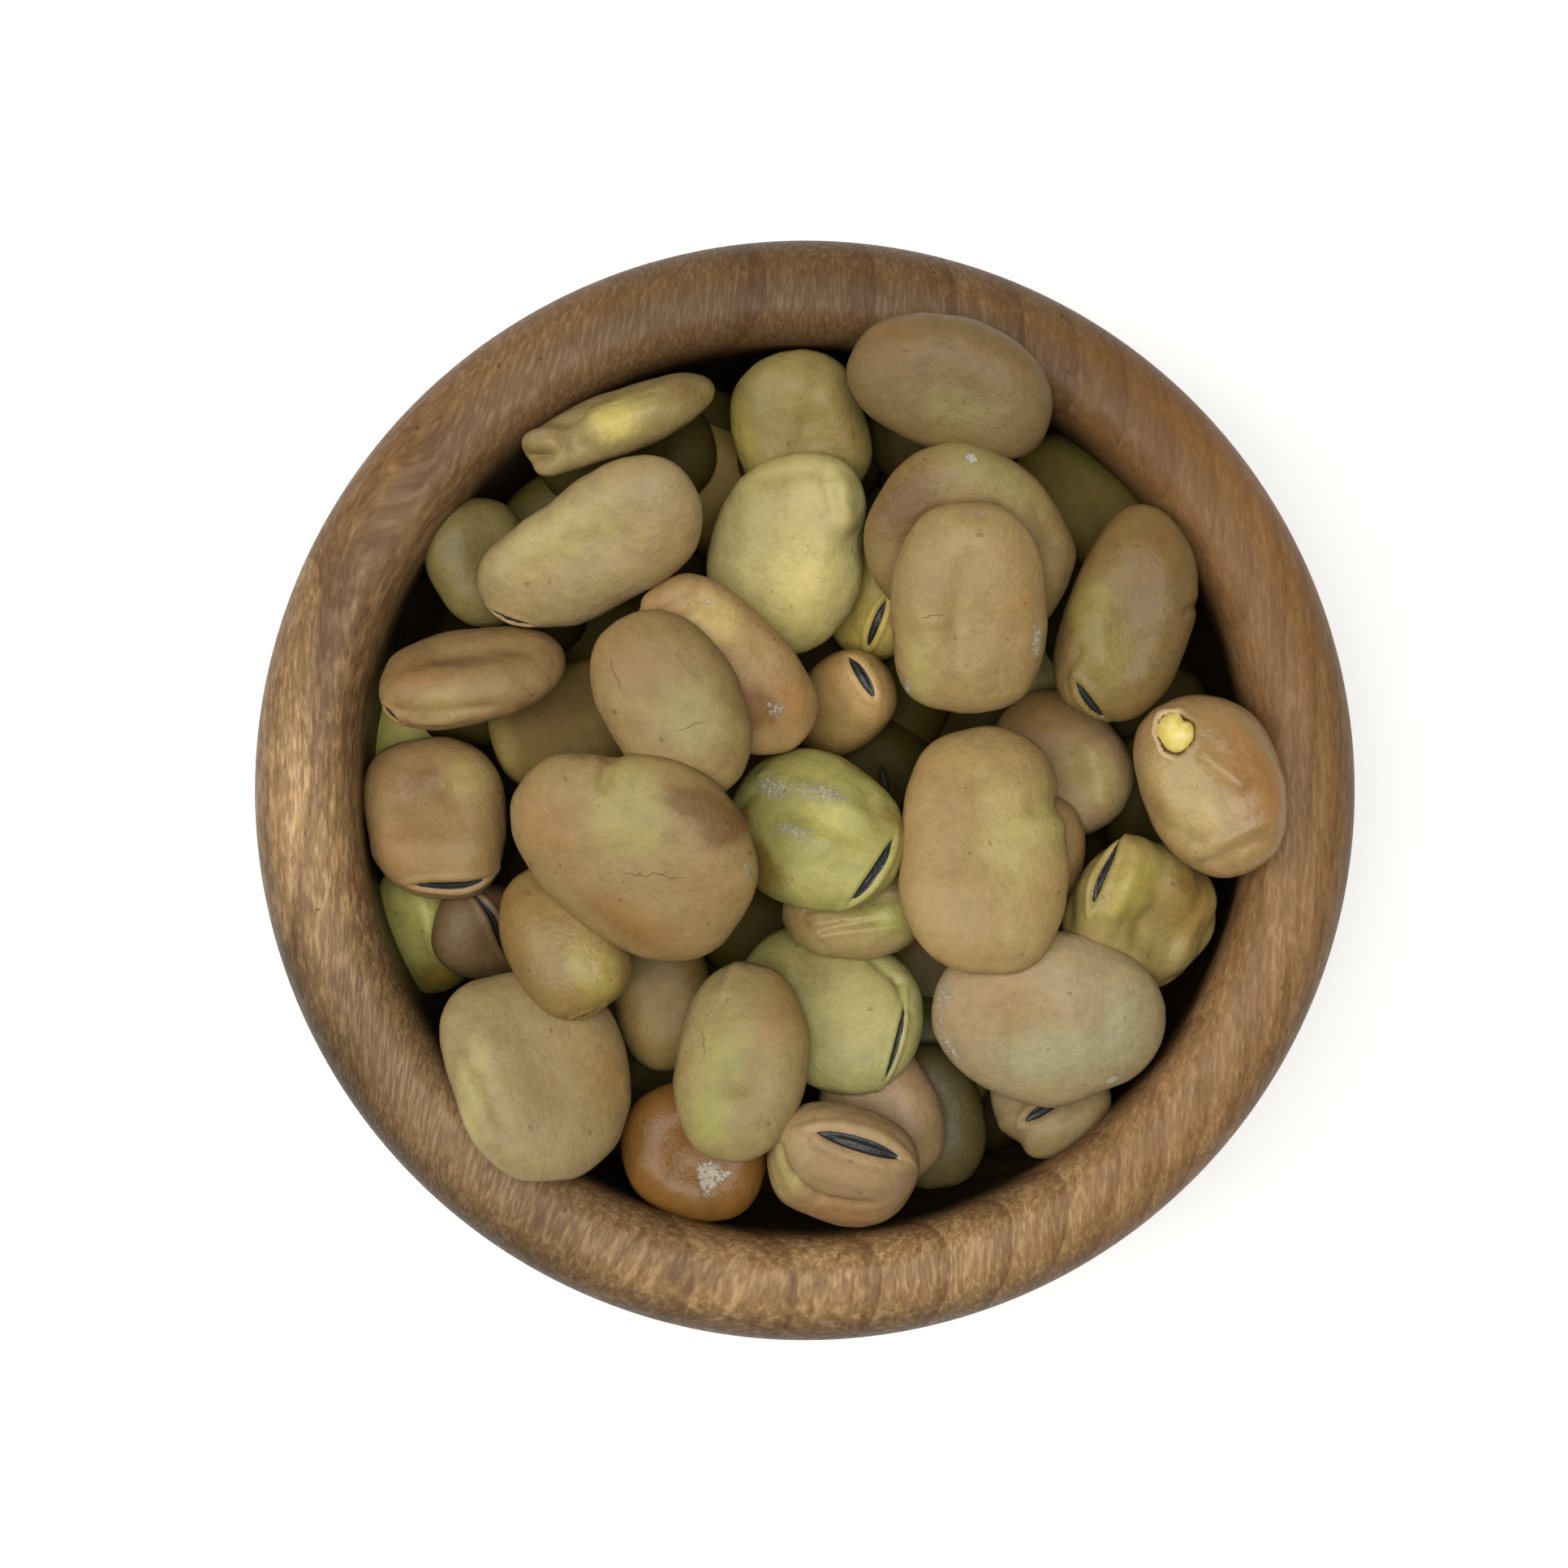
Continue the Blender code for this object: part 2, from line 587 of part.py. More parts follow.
def make_bowl(collection):
    """The turned bowl, smooth but for the edge of its foot."""
    bowl = add_object("bowl", turned_mesh("bowl", bowl_profile(), BOWL_SEGMENTS), collection)
    bowl.data.materials.append(finish_material("turned walnut", (0.13, 0.062, 0.03), 0.55))
    bowl.data.shade_smooth()
    bowl.data.set_sharp_from_angle(angle=math.radians(BOWL_CREASE))
    return bowl


def make_heap(collection):
    """The core with every bean fused on, as one solid."""
    pieces = bpy.data.collections.new("heap pieces")
    bpy.context.scene.collection.children.link(pieces)
    for bean, turned, place in settle_heap():
        add_object(bean.name, bean_mesh(bean, turned, place), pieces)
    core = add_object("beans", turned_mesh("core", core_profile(), CORE_SEGMENTS), collection)
    fuse = core.modifiers.new("fuse", "BOOLEAN")
    fuse.operation = "UNION"
    fuse.operand_type = "COLLECTION"
    fuse.collection = pieces
    fuse.solver = "EXACT"
    bpy.context.view_layer.update()
    evaluated = core.evaluated_get(bpy.context.evaluated_depsgraph_get())
    fused = bpy.data.meshes.new_from_object(evaluated)
    core.modifiers.clear()
    fused.name = "beans"
    core.data = fused
    for item in list(pieces.objects):
        bpy.data.objects.remove(item)
    bpy.data.collections.remove(pieces)
    keep_outer_shell(fused)
    fused.materials.clear()
    fused.materials.append(finish_material("bean skin", (0.33, 0.24, 0.1), 0.5))
    fused.shade_smooth()
    fused.set_sharp_from_angle(angle=math.radians(HEAP_CREASE))
    return core


def main():
    """Builds the bowl and the heap in an emptied scene."""
    for item in list(bpy.data.objects):
        bpy.data.objects.remove(item)
    collection = bpy.context.scene.collection
    make_bowl(collection)
    make_heap(collection)


main()
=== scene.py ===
"""The looks of a small turned wooden bowl heaped with dried broad beans.

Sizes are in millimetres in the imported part's own frame, and become metres where the
meshes are made. The beans are dropped by the same rule and in the same order as in
the part's source, so each one lies where its solid lies, and is then dressed with
its own folds, dents, stains, cracks and black scar.
"""

import logging
import math
from collections.abc import Iterable, Sequence
from dataclasses import dataclass, field
from enum import Enum
from functools import partial
from itertools import product
from typing import Any

import bpy
import numpy as np
from bpy.types import Material, Mesh, Node, NodeSocket as Socket, Object
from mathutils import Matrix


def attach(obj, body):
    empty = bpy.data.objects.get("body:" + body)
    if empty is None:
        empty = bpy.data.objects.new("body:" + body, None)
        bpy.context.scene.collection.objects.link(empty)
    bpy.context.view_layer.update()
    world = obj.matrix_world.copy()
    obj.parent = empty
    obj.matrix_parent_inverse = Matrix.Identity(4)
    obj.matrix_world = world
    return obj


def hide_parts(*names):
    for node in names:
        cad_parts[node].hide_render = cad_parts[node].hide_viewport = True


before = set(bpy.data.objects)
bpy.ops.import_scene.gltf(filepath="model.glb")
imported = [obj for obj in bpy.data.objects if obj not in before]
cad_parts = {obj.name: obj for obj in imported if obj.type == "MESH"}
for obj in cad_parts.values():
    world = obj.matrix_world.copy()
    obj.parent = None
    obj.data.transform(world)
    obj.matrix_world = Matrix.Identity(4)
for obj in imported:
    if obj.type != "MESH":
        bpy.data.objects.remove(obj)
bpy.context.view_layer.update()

log = logging.getLogger("bean bowl")

Array = np.ndarray
Rgb = tuple[float, float, float]
Plan = tuple[float, ...]

MM = 0.001
FAR_OFF = 9.0  # where a skin has no crack, scar or tear


def linear(colour: Rgb) -> tuple[float, float, float, float]:
    """Turns a display colour into the light values that shaders use.

    Args:
        colour: Red, green and blue from 0 to 255.

    Returns:
        Linear red, green, blue and a full alpha.
    """
    parts = [c / 255.0 for c in colour]
    made = [c / 12.92 if c <= 0.04045 else ((c + 0.055) / 1.055) ** 2.4 for c in parts]
    return (made[0], made[1], made[2], 1.0)


def smooth(low: float, high: float, value: Array) -> Array:
    """Rises smoothly from 0 at ``low`` to 1 at ``high``.

    Args:
        low: Where the rise starts.
        high: Where it ends, which can be lower than its start.
        value: The numbers to map.

    Returns:
        The mapped numbers.
    """
    t = np.clip((value - low) / (high - low), 0.0, 1.0)
    return t * t * (3.0 - 2.0 * t)


class Value:
    """A number socket in a material, on which Python's operators add Math nodes."""

    def __init__(self, tree: "Tree", socket: Socket) -> None:
        """Keeps the tree that the socket belongs to."""
        self.tree = tree
        self.socket = socket

    def _math(self, operation: str, first: Any, *rest: Any) -> "Value":
        """Adds one Math node.

        Args:
            operation: The node's operation.
            first: The first input, a Value or a number.
            rest: The other inputs.

        Returns:
            The node's output.
        """
        inputs = dict(enumerate((first, *rest)))
        node = self.tree.add("ShaderNodeMath", {"operation": operation}, inputs)
        return Value(self.tree, node.outputs[0])

    def __add__(self, other: Any) -> "Value":
        """Sum."""
        return self._math("ADD", self, other)

    __radd__ = __add__

    def __sub__(self, other: Any) -> "Value":
        """Difference."""
        return self._math("SUBTRACT", self, other)

    def __rsub__(self, other: Any) -> "Value":
        """Difference from a number."""
        return self._math("SUBTRACT", other, self)

    def __mul__(self, other: Any) -> "Value":
        """Product."""
        return self._math("MULTIPLY", self, other)

    __rmul__ = __mul__

    def __truediv__(self, other: Any) -> "Value":
        """Quotient."""
        return self._math("DIVIDE", self, other)

    def __pow__(self, other: Any) -> "Value":
        """Power."""
        return self._math("POWER", self, other)

    def size(self) -> "Value":
        """Absolute value."""
        return self._math("ABSOLUTE", self)

    def part(self) -> "Value":
        """Fraction after the whole number."""
        return self._math("FRACT", self)

    def root(self) -> "Value":
        """Square root."""
        return self._math("SQRT", self)

    def step(self, low: float, high: float) -> "Value":
        """Rises smoothly from 0 at ``low`` to 1 at ``high``.

        Args:
            low: Where the rise starts.
            high: Where it ends, which can be lower than its start.

        Returns:
            The risen share.
        """
        start, end = min(low, high), max(low, high)
        made = self.tree.add(
            "ShaderNodeMapRange", {"interpolation_type": "SMOOTHSTEP"},
            {"Value": self, "From Min": start, "From Max": end})
        risen = Value(self.tree, made.outputs["Result"])
        return risen if high > low else 1.0 - risen


class Tree:
    """A material's node tree."""

    def __init__(self, name: str) -> None:
        """Makes the material with nothing in its tree.

        Args:
            name: The material's name.
        """
        self.material = bpy.data.materials.new(name)
        self.material.use_nodes = True
        self.tree = self.material.node_tree
        self.tree.nodes.clear()

    def add(self, kind: str, settings: dict[str, Any] | None = None,
            sockets: dict[str | int, Any] | None = None) -> Node:
        """Adds a node.

        Args:
            kind: The node's type.
            settings: Properties to set first; "stops" fills a colour ramp.
            sockets: Values, or Values and sockets to link, by input name or number.

        Returns:
            The new node.
        """
        node = self.tree.nodes.new(kind)
        for key, setting in (settings or {}).items():
            if key == "stops":
                ramp = node.color_ramp.elements
                while len(ramp) < len(setting):
                    ramp.new(0.5)
                for element, (place, colour) in zip(ramp, setting):
                    element.position = place
                    element.color = colour
            else:
                setattr(node, key, setting)
        self.feed((node.inputs[key], given) for key, given in (sockets or {}).items())
        return node

    def feed(self, pairs: Iterable[tuple[Socket, Any]]) -> None:
        """Links or sets inputs.

        Args:
            pairs: Each input, with its value or the Value or socket that it is linked to.
        """
        for target, given in pairs:
            source = given.socket if isinstance(given, Value) else given
            if isinstance(source, Socket):
                self.tree.links.new(source, target)
            else:
                target.default_value = source

    def attribute(self, name: str, output: str) -> Socket:
        """Reads a mesh attribute as a vector or a colour."""
        return self.add("ShaderNodeAttribute", {"attribute_name": name}).outputs[output]

    def split(self, vector: Socket) -> tuple[Value, Value, Value]:
        """Splits a vector into its three numbers."""
        parts = self.add("ShaderNodeSeparateXYZ", None, {0: vector})
        return tuple(Value(self, out) for out in parts.outputs)

    def join(self, x: Any, y: Any, z: Any) -> Socket:
        """Joins three numbers into a vector."""
        return self.add("ShaderNodeCombineXYZ", None, {0: x, 1: y, 2: z}).outputs[0]

    def noise(self, place: Socket, size: float, detail: float = 2.0,
              roughness: float = 0.5) -> Value:
        """A noise whose lumps are about ``size`` across, from 0 to 1.

        Args:
            place: Where it is read, in millimetres.
            size: The size of its lumps.
            detail: How many finer layers are added.
            roughness: How strong those are.

        Returns:
            The noise.
        """
        node = self.add("ShaderNodeTexNoise", None, {
            "Vector": place, "Scale": 1.0 / size, "Detail": detail, "Roughness": roughness})
        return Value(self, node.outputs[0])

    def blend(self, share: Any, first: Any, second: Any,
              mode: str = "MIX") -> Socket:
        """Mixes two colours.

        Args:
            share: How much of the second, from 0 to 1.
            first: A colour, or a socket that gives one.
            second: The other.
            mode: How they mix.

        Returns:
            The mixed colour.
        """
        node = self.add("ShaderNodeMix", {"data_type": "RGBA", "blend_type": mode})
        colours = [s for s in node.inputs if s.type == "RGBA"]
        self.feed(zip([node.inputs[0], *colours], (share, first, second)))
        return next(s for s in node.outputs if s.type == "RGBA")

    def scaled(self, vector: Socket, factor: Any) -> Socket:
        """A vector or colour times a number."""
        return self.add("ShaderNodeVectorMath", {"operation": "SCALE"},
                        {0: vector, "Scale": factor}).outputs[0]

    def finish(self, colour: Socket, roughness: Any, height: Any,
               mirror: float = 0.5) -> Material:
        """Adds the shader.

        Args:
            colour: Base colour.
            roughness: Roughness.
            height: Relief in millimetres.
            mirror: How strongly it mirrors; 0.5 is what its density gives.

        Returns:
            The finished material.
        """
        bump = self.add("ShaderNodeBump", None,
                        {"Strength": 1.0, "Distance": MM, "Height": height})
        shader = self.add("ShaderNodeBsdfPrincipled", None, {
            "Base Color": colour, "Roughness": roughness, "Normal": bump.outputs[0],
            "Metallic": 0.0, "IOR": 1.46, "Specular IOR Level": mirror})
        self.add("ShaderNodeOutputMaterial", None, {"Surface": shader.outputs[0]})
        return self.material


@dataclass(frozen=True)
class WoodFinish:
    """Oiled, turned, mid-brown hardwood; the trunk lay along Y, its heart above to the left.

    Year rings are numbered along ``slope`` and get narrower to the right. A patch of
    ``patches`` is painted light: it has its middle in plan, its squash along Y, the
    distances where it starts and is full, and how much light is painted there; below 0
    it is painted shade. Painted shade also darkens the rim's outer band, its inner slope
    and the wall under the mouth, and the rim is drawn brighter and darker by side.
    """

    light: Rgb = (186, 152, 108)
    mid: Rgb = (144, 113, 76)
    dark: Rgb = (102, 76, 48)
    line: Rgb = (84, 56, 33)
    warm: Rgb = (146, 98, 51)
    slope: float = 0.65
    drift: float = 0.08
    first_ring: float = -8.3
    ring_rate: float = 0.0665
    ring_growth: float = 0.00147
    crown_height: float = 54.0
    fleck_wide: float = 0.5
    fleck_long: float = 2.8
    fibre_size: float = 0.8
    fine_size: float = 0.22
    cloud_size: float = 13.0
    sway_size: float = 9.0
    pore_size: float = 1.2
    lean: float = 0.3
    patches: tuple[Plan, ...] = (
        (-50.5, 0.0, 0.12, 7.0, 2.0, 0.3), (-57.0, 0.0, 0.16, 9.0, 2.0, 0.3),
        (-41.0, -41.0, 1.0, 30.0, 12.0, -0.36))

    def build(self) -> Material:
        """Makes the wood's material.

        Returns:
            The material.
        """
        tree = Tree("turned wood")
        place = tree.scaled(tree.add("ShaderNodeTexCoord").outputs["Object"], 1.0 / MM)
        x, y, z = tree.split(place)
        sway = tree.noise(tree.join(x * 0.6, y * 0.25, z * 0.6), self.sway_size) - 0.5
        depth = z - self.crown_height
        along = x - self.drift * y - self.slope * depth + 3.0 * sway - self.first_ring
        year = (along * self.ring_rate + along * along * self.ring_growth).part()
        late = year.step(0.3, 0.97)
        line = year.step(0.8, 0.96) * year.step(1.0, 0.98) * (1.0 - 0.7 * x.step(20.0, 40.0))

        left = x.step(-52.0, -38.0) * x.step(16.0, -30.0)
        across = x - y * self.lean * left + 0.5 * sway
        stretch = self.fleck_wide / self.fleck_long
        fleck = tree.noise(tree.join(across, y * stretch, z), self.fleck_wide)
        fibre = tree.noise(tree.join(across, y * 0.05, z), self.fibre_size, 4.0, 0.6)
        fine = tree.noise(tree.join(across, y * 0.2, z), self.fine_size)
        cloud = tree.noise(tree.join(x, y * 0.5, z), self.cloud_size, 3.0)
        speckle = fleck.step(0.44, 0.64) * (1.0 - 0.35 * x.step(8.0, 44.0))
        tone = 0.5 + 0.6 * (cloud - 0.5) + 0.9 * (fibre - 0.5) + 0.7 * (fine - 0.5)
        tone = tone - 0.14 * late + 0.26 * (speckle - 0.35)
        base = tree.add("ShaderNodeValToRGB", {"stops": [
            (0.12, linear(self.dark)), (0.5, linear(self.mid)), (0.9, linear(self.light))]},
            {"Fac": tone}).outputs[0]
        redder = 0.36 * x.step(8.0, 48.0) * (0.45 + 0.55 * y.step(-35.0, 5.0))
        redder = redder + 0.36 * y.step(0.0, 45.0) + 0.1 * y.step(-10.0, -40.0)
        base = tree.blend(redder, base, linear(self.warm))
        base = tree.blend(0.28 * line, base, linear(self.line))
        pore = tree.noise(place, self.pore_size, 0.0).step(0.84, 0.87)
        base = tree.blend(0.7 * pore, base, linear(self.line))

        # Painted light and shade on the wood: the rim's outer band and inner slope are darkened, the rim is
        # brighter and darker by side, and the patches below add painted light and shade
        reach = (x * x + y * y).root()
        outer = (0.12 + 0.2 * y.step(30.0, -10.0)) * reach.step(56.0, 59.5)
        outer = outer - 0.3 * reach.step(54.0, 56.5) * y.step(5.0, 35.0)
        low_left = y.step(20.0, -20.0) * x.step(40.0, 0.0)
        outer = outer + 0.3 * low_left * reach.step(54.5, 58.5)
        painted_light_and_shade = 1.0 - outer - 0.25 * reach.step(50.2, 48.0)
        painted_light_and_shade = painted_light_and_shade * (0.8 - 0.0064 * y + 0.00004 * x * x)
        for at_x, at_y, squash, start, full, painted_gain in self.patches:
            dx, dy = x - at_x, y - at_y
            far = (dx * dx + squash * dy * dy).root()
            painted_light_and_shade = painted_light_and_shade * (1.0 + painted_gain * far.step(start, full))
        # Painted shade: the wall under the mouth darkens down towards the heap
        deep = z.step(50.0, 42.0) * reach.step(50.5, 49.3) * z.step(22.0, 28.0)
        base = tree.scaled(base, painted_light_and_shade * (1.0 - 0.82 * deep))
        rough = 0.52 + 0.2 * (fibre - 0.5) - 0.08 * speckle
        relief = 0.035 * fleck + 0.03 * fibre + 0.02 * fine - 0.03 * line
        return tree.finish(base, rough, relief, 0.22)


@dataclass(frozen=True)
class SkinFinish:
    """The dry, waxy skin of the beans; each bean brings its colours and its stains."""

    brown: Rgb = (198, 176, 148)
    warm: Rgb = (255, 234, 216)
    scuff: Rgb = (184, 178, 162)
    scar: Rgb = (36, 36, 35)
    scar_line: Rgb = (74, 74, 70)
    crack: Rgb = (104, 78, 48)
    torn: Rgb = (84, 62, 34)
    torn_edge: Rgb = (214, 186, 140)
    dull: float = 0.56
    shiny: float = 0.3
    mirror: float = 0.36
    patch_size: float = 7.0
    blotch_size: float = 2.2
    fine_size: float = 0.6
    grain_size: float = 0.17
    blush_size: float = 9.0
    blush_offset: Rgb = (31.0, 17.0, 5.0)
    freckle_size: float = 0.9
    chalk_size: float = 0.42
    wander_size: float = 1.6

    def build(self) -> Material:
        """Makes the skin's material.

        Returns:
            The material.
        """
        tree = Tree("bean skin")
        place = tree.attribute("place", "Vector")
        second, brown, scuff = tree.split(tree.attribute("stain", "Vector"))
        gloss, crack_far, crack_along = tree.split(tree.attribute("fine", "Vector"))
        scar_along, scar_across, warm = tree.split(tree.attribute("scar", "Vector"))
        tear_along, tear_across, _ = tree.split(tree.attribute("tear", "Vector"))

        broad = tree.noise(place, self.patch_size) - 0.5
        blotch = tree.noise(place, self.blotch_size, 4.0, 0.6) - 0.5
        fine = tree.noise(place, self.fine_size, 3.0, 0.6) - 0.5
        grain = tree.noise(place, self.grain_size, 1.0) - 0.5
        rosy = tree.noise(tree.add("ShaderNodeVectorMath", {"operation": "ADD"}, {
            0: place, 1: self.blush_offset}).outputs[0], self.blush_size) - 0.5
        freckle = tree.noise(place, self.freckle_size, 0.0).step(0.8, 0.86)

        patch = (second + 1.1 * broad + 0.4 * blotch).step(0.0, 1.0)
        base = tree.blend(patch, tree.attribute("skin", "Color"),
                          tree.attribute("second", "Color"))
        base = tree.blend((warm + 1.1 * rosy + 0.3 * blotch).step(0.0, 1.2), base,
                          linear(self.warm), "MULTIPLY")
        shade = 1.0 + 0.24 * rosy + 0.48 * blotch + 0.34 * fine + 0.3 * grain
        base = tree.scaled(base, shade)
        stained = (brown + 1.0 * blotch + 0.8 * fine).step(0.1, 1.0)
        base = tree.blend(stained, base, linear(self.brown), "MULTIPLY")
        base = tree.blend(0.6 * freckle, base, linear(self.brown), "MULTIPLY")
        chalk = tree.noise(place, self.chalk_size, 5.0, 0.8)
        rubbed = (scuff * (2.6 * chalk - 0.68)).step(0.5, 0.8)
        base = tree.blend(0.75 * rubbed, base, linear(self.scuff))
        wander = crack_far + 1.3 * (tree.noise(place, self.wander_size) - 0.5) + 0.1 * fine
        split = wander.size().step(0.09, 0.02) * crack_along.size().step(1.0, 0.4)
        base = tree.blend(0.42 * split, base, linear(self.crack))

        almond = scar_along.size() ** 2.6 + scar_across.size()
        black = almond.step(1.04, 0.94)
        base = tree.scaled(base, 1.0 + 0.1 * almond.step(2.2, 1.3))
        base = tree.blend(black, base, linear(self.scar))
        middle = black * scar_across.size().step(0.2, 0.06) * almond.step(0.9, 0.7)
        base = tree.blend(0.55 * middle, base, linear(self.scar_line))
        bead = black * scar_along.step(0.86, 0.93)
        base = tree.blend(0.8 * bead, base, linear(self.scuff))

        hole = (tear_along * tear_along + tear_across * tear_across).root() + 0.3 * fine
        curled = hole.step(1.32, 1.12) * (tear_along + tear_across).step(-0.9, 0.5)
        base = tree.blend(0.75 * curled, base, linear(self.torn_edge))
        base = tree.blend(hole.step(1.04, 0.97), base, linear(self.torn))

        rough = self.dull + (self.shiny - self.dull) * gloss + 0.25 * fine
        rough = rough + 0.3 * rubbed - 0.12 * black
        relief = 0.2 * blotch + 0.06 * fine + 0.02 * grain + 0.03 * rubbed - 0.06 * split
        return tree.finish(base, rough, relief, self.mirror)


@dataclass(frozen=True)
class KernelFinish:
    """The yellow seed leaf that shows where the skin is torn."""

    flesh: Rgb = (226, 198, 96)
    pale: Rgb = (238, 220, 136)

    def build(self) -> Material:
        """Makes the seed leaf's material.

        Returns:
            The material.
        """
        tree = Tree("yellow kernel")
        place = tree.scaled(tree.add("ShaderNodeTexCoord").outputs["Object"], 1.0 / MM)
        cloud = tree.noise(place, 1.2, 3.0)
        base = tree.blend(cloud.step(0.35, 0.7), linear(self.flesh), linear(self.pale))
        return tree.finish(base, 0.4 + 0.15 * cloud, 0.05 * cloud)


class Tone(Enum):
    """The skins' main colours: the first covers the bean, the second its patches."""

    TAN = ((153, 126, 79), (163, 148, 88))
    SAND = ((159, 136, 92), (172, 157, 100))
    HONEY = ((163, 131, 84), (180, 154, 96))
    ROSE = ((163, 133, 94), (170, 150, 94))
    OLIVE = ((154, 135, 78), (172, 154, 78))
    MOSS = ((164, 155, 86), (186, 178, 100))
    SAGE = ((155, 134, 86), (156, 149, 80))
    PALE = ((184, 170, 108), (202, 184, 112))
    CELERY = ((157, 149, 92), (170, 159, 96))
    GREY = ((163, 142, 102), (156, 148, 107))
    GOLD = ((158, 137, 86), (206, 186, 98))
    AMBER = ((150, 121, 70), (166, 146, 76))
    UMBER = ((104, 85, 46), (128, 110, 64))
    RUSSET = ((146, 101, 46), (134, 96, 44))
    # Painted shade: a darkened skin colour, mostly for the beans deep in the gaps and for the core
    SOOT = ((66, 55, 24), (60, 55, 22))


(TAN, SAND, HONEY, ROSE, OLIVE, MOSS, SAGE, PALE, CELERY, GREY, GOLD, AMBER, UMBER,
 RUSSET, SOOT) = Tone


class Skin:
    """The fine mesh of one bean in its own frame, with what its details write on it."""

    def __init__(self, place: Array, faces: Array) -> None:
        """Starts with clean skin.

        Args:
            place: The points, in millimetres.
            faces: Four corners for each face.
        """
        self.place = place
        self.faces = faces
        count = len(place)
        self.stain = np.zeros((count, 4))
        self.crack = np.full((count, 2), FAR_OFF)
        self.scar = np.full((count, 3), FAR_OFF)
        self.tear = np.full((count, 3), FAR_OFF)
        self.upper = smooth(-1.2, 0.4, place[:, 2])
        self.normal = self.normals()

    def normals(self) -> Array:
        """Works out the points' normals.

        Returns:
            One outward unit normal for each point.
        """
        a, b, c, d = (self.place[self.faces[:, k]] for k in range(4))
        across = np.cross(c - a, d - b)
        total = np.zeros_like(self.place)
        for k in range(4):
            np.add.at(total, self.faces[:, k], across)
        return total / np.maximum(np.linalg.norm(total, axis=1, keepdims=True), 1e-12)

    def nearest(self, point: Plan) -> int:
        """Number of the mesh point that is nearest to a place in space."""
        return int(np.linalg.norm(self.place - np.array(point), axis=1).argmin())


class Detail:
    """Something on one bean's skin, which raises it, colours it, or both."""

    def relief(self, skin: Skin) -> Array | float:
        """How far the skin is raised at each point, in millimetres."""
        return 0.0

    def colour(self, skin: Skin) -> None:
        """Writes the detail's colours on the skin."""


@dataclass(frozen=True)
class Fold(Detail):
    """A ridge, or with a height below 0 a crease, between two places.

    Places with two numbers are on the upper face; with three they are in space.
    """

    start: Plan
    end: Plan
    width: float
    height: float

    def relief(self, skin: Skin) -> Array:
        """How far the fold raises the skin.

        Args:
            skin: The bean's skin.

        Returns:
            A height for each point.
        """
        start, end = np.array(self.start), np.array(self.end)
        way = end - start
        place = skin.place[:, :len(start)] - start
        along = np.clip(place @ way / (way @ way), 0.0, 1.0)
        far = np.linalg.norm(place - along[:, None] * way, axis=1)
        raised = self.height * np.exp(-(far / self.width) ** 2)
        return raised * skin.upper if len(start) == 2 else raised


@dataclass(frozen=True)
class Dent(Detail):
    """A round hollow in the upper face."""

    x: float
    y: float
    reach: float
    depth: float

    def relief(self, skin: Skin) -> Array:
        """How far the dent lowers the skin, as a height below 0."""
        far = np.hypot(skin.place[:, 0] - self.x, skin.place[:, 1] - self.y)
        return -self.depth * np.exp(-(far / self.reach) ** 2) * skin.upper


class Stain(Enum):
    """A mark's kind: the bean's second tone, a brown smudge, a white scuff or a blush."""

    SECOND = 0
    BROWN = 1
    SCUFF = 2
    WARM = 3


@dataclass(frozen=True)
class Mark(Detail):
    """An oval stain on the upper face."""

    stain: Stain
    x: float
    y: float
    long: float
    wide: float
    amount: float = 1.0
    turn: float = 0.0

    def colour(self, skin: Skin) -> None:
        """Adds the stain to the skin.

        Args:
            skin: The bean's skin.
        """
        x, y = skin.place[:, 0] - self.x, skin.place[:, 1] - self.y
        cos, sin = math.cos(math.radians(self.turn)), math.sin(math.radians(self.turn))
        along, across = (x * cos + y * sin) / self.long, (y * cos - x * sin) / self.wide
        added = self.amount * np.exp(-(along ** 2 + across ** 2)) * skin.upper
        skin.stain[:, self.stain.value] += added


@dataclass(frozen=True)
class Crack(Detail):
    """A hairline in the upper face."""

    start: Plan
    end: Plan

    def colour(self, skin: Skin) -> None:
        """Writes how far each point is from the line, and how far along it.

        Args:
            skin: The bean's skin.
        """
        start, end = np.array(self.start), np.array(self.end)
        way = end - start
        length = float(np.linalg.norm(way))
        place = skin.place[:, :2] - (start + end) / 2.0
        along = place @ way / length
        across = (place[:, 1] * way[0] - place[:, 0] * way[1]) / length
        along = along * 2.0 / length
        nearer = (np.abs(along) < 1.5) & (np.abs(across) < 2.0) & (skin.upper > 0.5)
        skin.crack[nearer] = np.stack([across, along], axis=1)[nearer]


